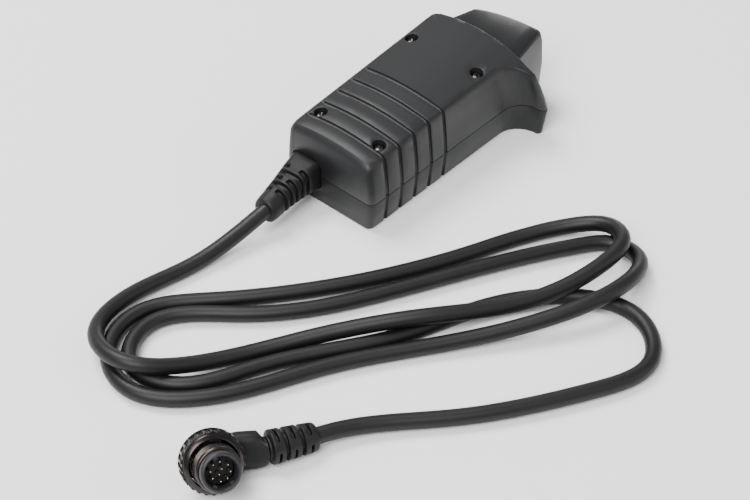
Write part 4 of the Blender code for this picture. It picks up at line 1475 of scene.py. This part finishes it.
@dataclass
class Plug:
    """The right-angle plug: elbow, knurled ring, threaded sleeve, barrel, insulator and pins."""

    ring_radius: float = 6.95
    ring_bore: float = 5.3
    notches: int = 26
    notch_depth: float = 0.42
    sleeve_radius: float = 4.95
    sleeve_bore: float = 4.4
    barrel_radius: float = 4.38
    barrel_body: float = 4.1
    barrel_bore: float = 3.75
    lip_bore: float = 3.3
    pin_radius: float = 0.24
    pin_circle: float = 2.12
    pattern_turn: float = 55.0
    pin_turns: tuple[float, ...] = (27.0, 69.0, 111.0, 153.0)
    inner_pin_offset: float = 0.64
    notch_facets: int = 5
    notch_share: float = 0.58
    rim_low: float = -1.75
    rim_high: float = 1.1
    rim_round: float = 0.13
    flange_gap: float = 0.08
    thread_start: float = 3.6
    thread_end: float = 6.0
    thread_pitch: float = 0.5
    thread_steps: tuple[tuple[float, float], ...] = ((0.12, 0.2), (0.24, 0.2), (0.36, 0.0), (0.5, 0.0))
    round_sides: int = 96
    key_turns: tuple[float, ...] = (-55.0, -125.0, 100.0)
    key_heights: tuple[float, float] = (6.1, 8.15)
    key_reach: float = 0.4
    key_root: float = 0.2
    key_half: float = 0.4
    key_root_half: float = 0.48
    insert_gap: float = 0.3
    insert_sides: int = 64
    pin_sides: int = 20
    elbow_round: float = 0.35
    hub_sides: int = 48
    hub_profile: tuple[tuple[float, float], ...] = (
        (-6.6, 1.6),
        (-6.45, 2.6),
        (-6.0, 3.4),
        (-5.2, 4.1),
        (-4.2, 4.6),
        (-2.3, 4.75),
    )
    arm_steps: int = 5
    arm_stations: tuple[tuple[float, float, float, float, float, float], ...] = (
        (-3.2, 5.6, 3.4, 1.2, 0.0, -4.5),
        (-1.5, 7.6, 4.4, 1.5, -0.2, -4.7),
        (5.0, 8.0, 4.8, 1.9, -0.5, -4.7),
        (7.4, 8.4, 4.6, 2.1, -0.7, -4.6),
        (9.3, 8.4, 4.4, 2.1, -0.95, -4.1),
        (11.1, 8.0, 4.3, 2.0, -1.1, -3.9),
        (11.9, 6.0, 4.4, 1.8, -1.5, -3.45),
        (12.4, 4.9, 4.4, 1.8, -1.15, -3.2),
    )

    def build(self) -> list[bpy.types.Object]:
        """Make every piece of the plug.

        Returns:
            The pieces, which are on the end of the cord.
        """
        made = [self.elbow(), self.ring(), self.sleeve(), self.barrel(), self.insert()]
        made += self.pins()
        return made

    def elbow(self) -> bpy.types.Object:
        """The moulded elbow: a turned hub joined to the arm.

        Returns:
            The finished object.
        """
        hub = turned_form("plug_elbow_moulding", self.hub_profile, self.hub_sides, ring=False)
        sections = [
            [(x, aside + u, up + v) for u, v in rounded(width, depth, radius, self.arm_steps)]
            for x, width, depth, radius, aside, up in self.arm_stations
        ]
        arm = Form("arm", sections[0])
        for section in sections[1:]:
            arm.extend(section)
        arm.face_outwards()
        hub.cut(arm, "UNION")
        hub.soften(self.elbow_round, segments=3, angle=28.0)
        return hub.settle(
            plug_frame(), ELBOW_RUBBER, Body.HANDLE, Slot.SOFT, ["plug_elbow"], 38.0
        )

    def ring(self) -> bpy.types.Object:
        """The locking ring with its knurled rim and smooth bevelled face.

        Returns:
            The finished object.
        """
        radius = self.ring_radius
        profile = (
            (-2.0, radius - 0.4),
            (self.rim_low, radius),
            (0.85, radius),
            (self.rim_high, radius - 0.25),
            (self.rim_high, radius - 0.45),
            (1.35, radius - 0.5),
            (1.55, radius - 0.65),
            (2.1, radius - 1.4),
            (2.1, self.ring_bore + 0.1),
            (1.95, self.ring_bore),
            (-2.0, self.ring_bore),
        )
        sides = self.notches * self.notch_facets
        form = turned_form("locking_ring_turned", profile, sides, ring=True)

        def knurl(middle: Vector, normal: Vector) -> bool:
            """Whether a face is the floor of a notch in the rim.

            Args:
                middle: The face's middle.
                normal: The way it faces.

            Returns:
                True for a floor.
            """
            if not self.rim_low < middle.z < self.rim_high:
                return False
            if math.hypot(middle.x, middle.y) < radius - 0.3:
                return False
            share = math.degrees(math.atan2(middle.y, middle.x)) * self.notches / 360.0
            return share % 1.0 < self.notch_share

        form.pick_faces(knurl)
        form.sink(self.notch_depth, lambda point: Vector((0.0, 0.0, point.z)))
        form.leave_edit()
        form.soften(self.rim_round, segments=2, angle=30.0)
        return form.settle(
            plug_frame(), RING_METAL, Body.LOCK_RING, Slot.GUNMETAL, ["locking_ring"]
        )

    def sleeve(self) -> bpy.types.Object:
        """The threaded sleeve, with a smooth collar behind fine thread crests.

        Returns:
            The finished object.
        """
        radius = self.sleeve_radius
        flange = self.ring_bore - self.flange_gap
        profile = [
            (-1.6, self.sleeve_bore),
            (-1.6, flange),
            (-0.4, flange),
            (-0.3, radius),
            (self.thread_start, radius),
        ]
        height = self.thread_start
        while height < self.thread_end:
            profile += [(height + rise, radius - depth) for rise, depth in self.thread_steps]
            height += self.thread_pitch
        profile += [
            (6.3, radius - 0.12),
            (6.5, radius - 0.3),
            (6.6, radius - 0.45),
            (6.6, self.sleeve_bore),
        ]
        form = turned_form("threaded_sleeve_turned", profile, self.round_sides, ring=True)
        return form.settle(
            plug_frame(), SLEEVE_METAL, Body.LOCK_RING, Slot.GUNMETAL, ["threaded_sleeve"]
        )

    def barrel(self) -> bpy.types.Object:
        """The barrel with a rolled lip and its keys.

        Returns:
            The finished object.
        """
        radius = self.barrel_radius
        bore = self.barrel_bore
        lip = self.lip_bore
        profile = (
            (-2.0, 0.5),
            (-2.0, self.barrel_body),
            (6.9, self.barrel_body),
            (7.05, radius),
            (7.95, radius),
            (8.3, radius - 0.08),
            (8.5, radius - 0.25),
            (8.58, radius - 0.45),
            (8.5, lip + 0.35),
            (8.1, lip + 0.08),
            (7.6, lip),
            (5.9, lip),
            (5.7, bore),
            (1.0, bore),
            (1.0, 0.5),
        )
        form = turned_form("plug_barrel_turned", profile, self.round_sides, ring=True)
        inner = lip - self.key_reach
        outer = lip + self.key_root
        corners = (
            (inner, -self.key_half),
            (outer, -self.key_root_half),
            (outer, self.key_root_half),
            (inner, self.key_half),
        )
        for turn in self.key_turns:
            spin = Matrix.Rotation(math.radians(turn), 3, "Z")
            sections = [
                [spin @ Vector((x, y, height)) for x, y in corners] for height in self.key_heights
            ]
            key = Form("key", sections[0])
            key.extend(sections[1])
            key.face_outwards()
            form.cut(key, "UNION")
        return form.settle(
            plug_frame(), BARREL_METAL, Body.HANDLE, Slot.BARREL, ["plug_barrel"], 30.0
        )

    def insert(self) -> bpy.types.Object:
        """The insulator with a countersink round each pin.

        Returns:
            The finished object.
        """
        radius = self.barrel_bore - self.insert_gap
        body = ((1.3, radius), (4.95, radius), (5.2, radius - 0.25))
        form = turned_form("pin_insulator", body, self.insert_sides, ring=False)
        for x, y in self.pin_spots():
            profile = ((3.6, self.pin_radius + 0.02), (4.9, self.pin_radius + 0.02), (5.6, 0.62))
            well = turned_form("well", profile, self.pin_sides, ring=False)
            well.leave_edit()
            well.obj.data.transform(Matrix.Translation((x, y, 0.0)))
            form.cut(well)
        return form.settle(
            plug_frame(), INSERT_RESIN, Body.HANDLE, Slot.INSERT, ["pin_insert"], 30.0
        )

    def pin_spots(self) -> list[tuple[float, float]]:
        """Where the contacts stand.

        Returns:
            Their places: the circle's first, then the two in the middle.
        """
        spots = []
        for side in (1, -1):
            for turn in self.pin_turns:
                angle = math.radians(self.pattern_turn + side * turn)
                spots.append((self.pin_circle * math.cos(angle), self.pin_circle * math.sin(angle)))
        angle = math.radians(self.pattern_turn)
        inner = (self.inner_pin_offset * math.cos(angle), self.inner_pin_offset * math.sin(angle))
        return spots + [inner, (-inner[0], -inner[1])]

    def pins(self) -> list[bpy.types.Object]:
        """The round-ended contacts: one is turned, and each contact is a copy of it.

        Returns:
            The finished objects.
        """
        made = []
        radius = self.pin_radius
        profile = (
            (3.9, radius),
            (7.25, radius),
            (7.42, radius * 0.88),
            (7.54, radius * 0.6),
            (7.6, radius * 0.25),
        )
        master = turned_form("contact_pin_master", profile, self.pin_sides, ring=False)
        master.leave_edit()
        for index, (x, y) in enumerate(self.pin_spots()):
            node = f"contact_pin_{index + 1:02d}"
            copy = Form.__new__(Form)
            copy.obj = bpy.data.objects.new(f"{node}_turned", master.obj.data.copy())
            copy.outline = []
            bpy.context.scene.collection.objects.link(copy.obj)
            place = plug_frame() @ Matrix.Translation((x, y, 0.0))
            made.append(copy.settle(place, PIN_PLATING, Body.HANDLE, Slot.PIN, [node]))
        bpy.data.objects.remove(master.obj, do_unlink=True)
        return made


# ---------------------------------------------------------------- the whole release


def main() -> None:
    """Build the studio and every piece."""
    logging.basicConfig(level=logging.INFO, format="%(name)s %(message)s")
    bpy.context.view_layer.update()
    Studio().build()
    plug = Plug().build()
    plug.append(plug_tail().build())
    Cord().build(plug)
    grip_tail().build()
    Housing().build()
    Trigger().build()
    SwitchWorks().build()


if __name__ == "__main__":
    main()
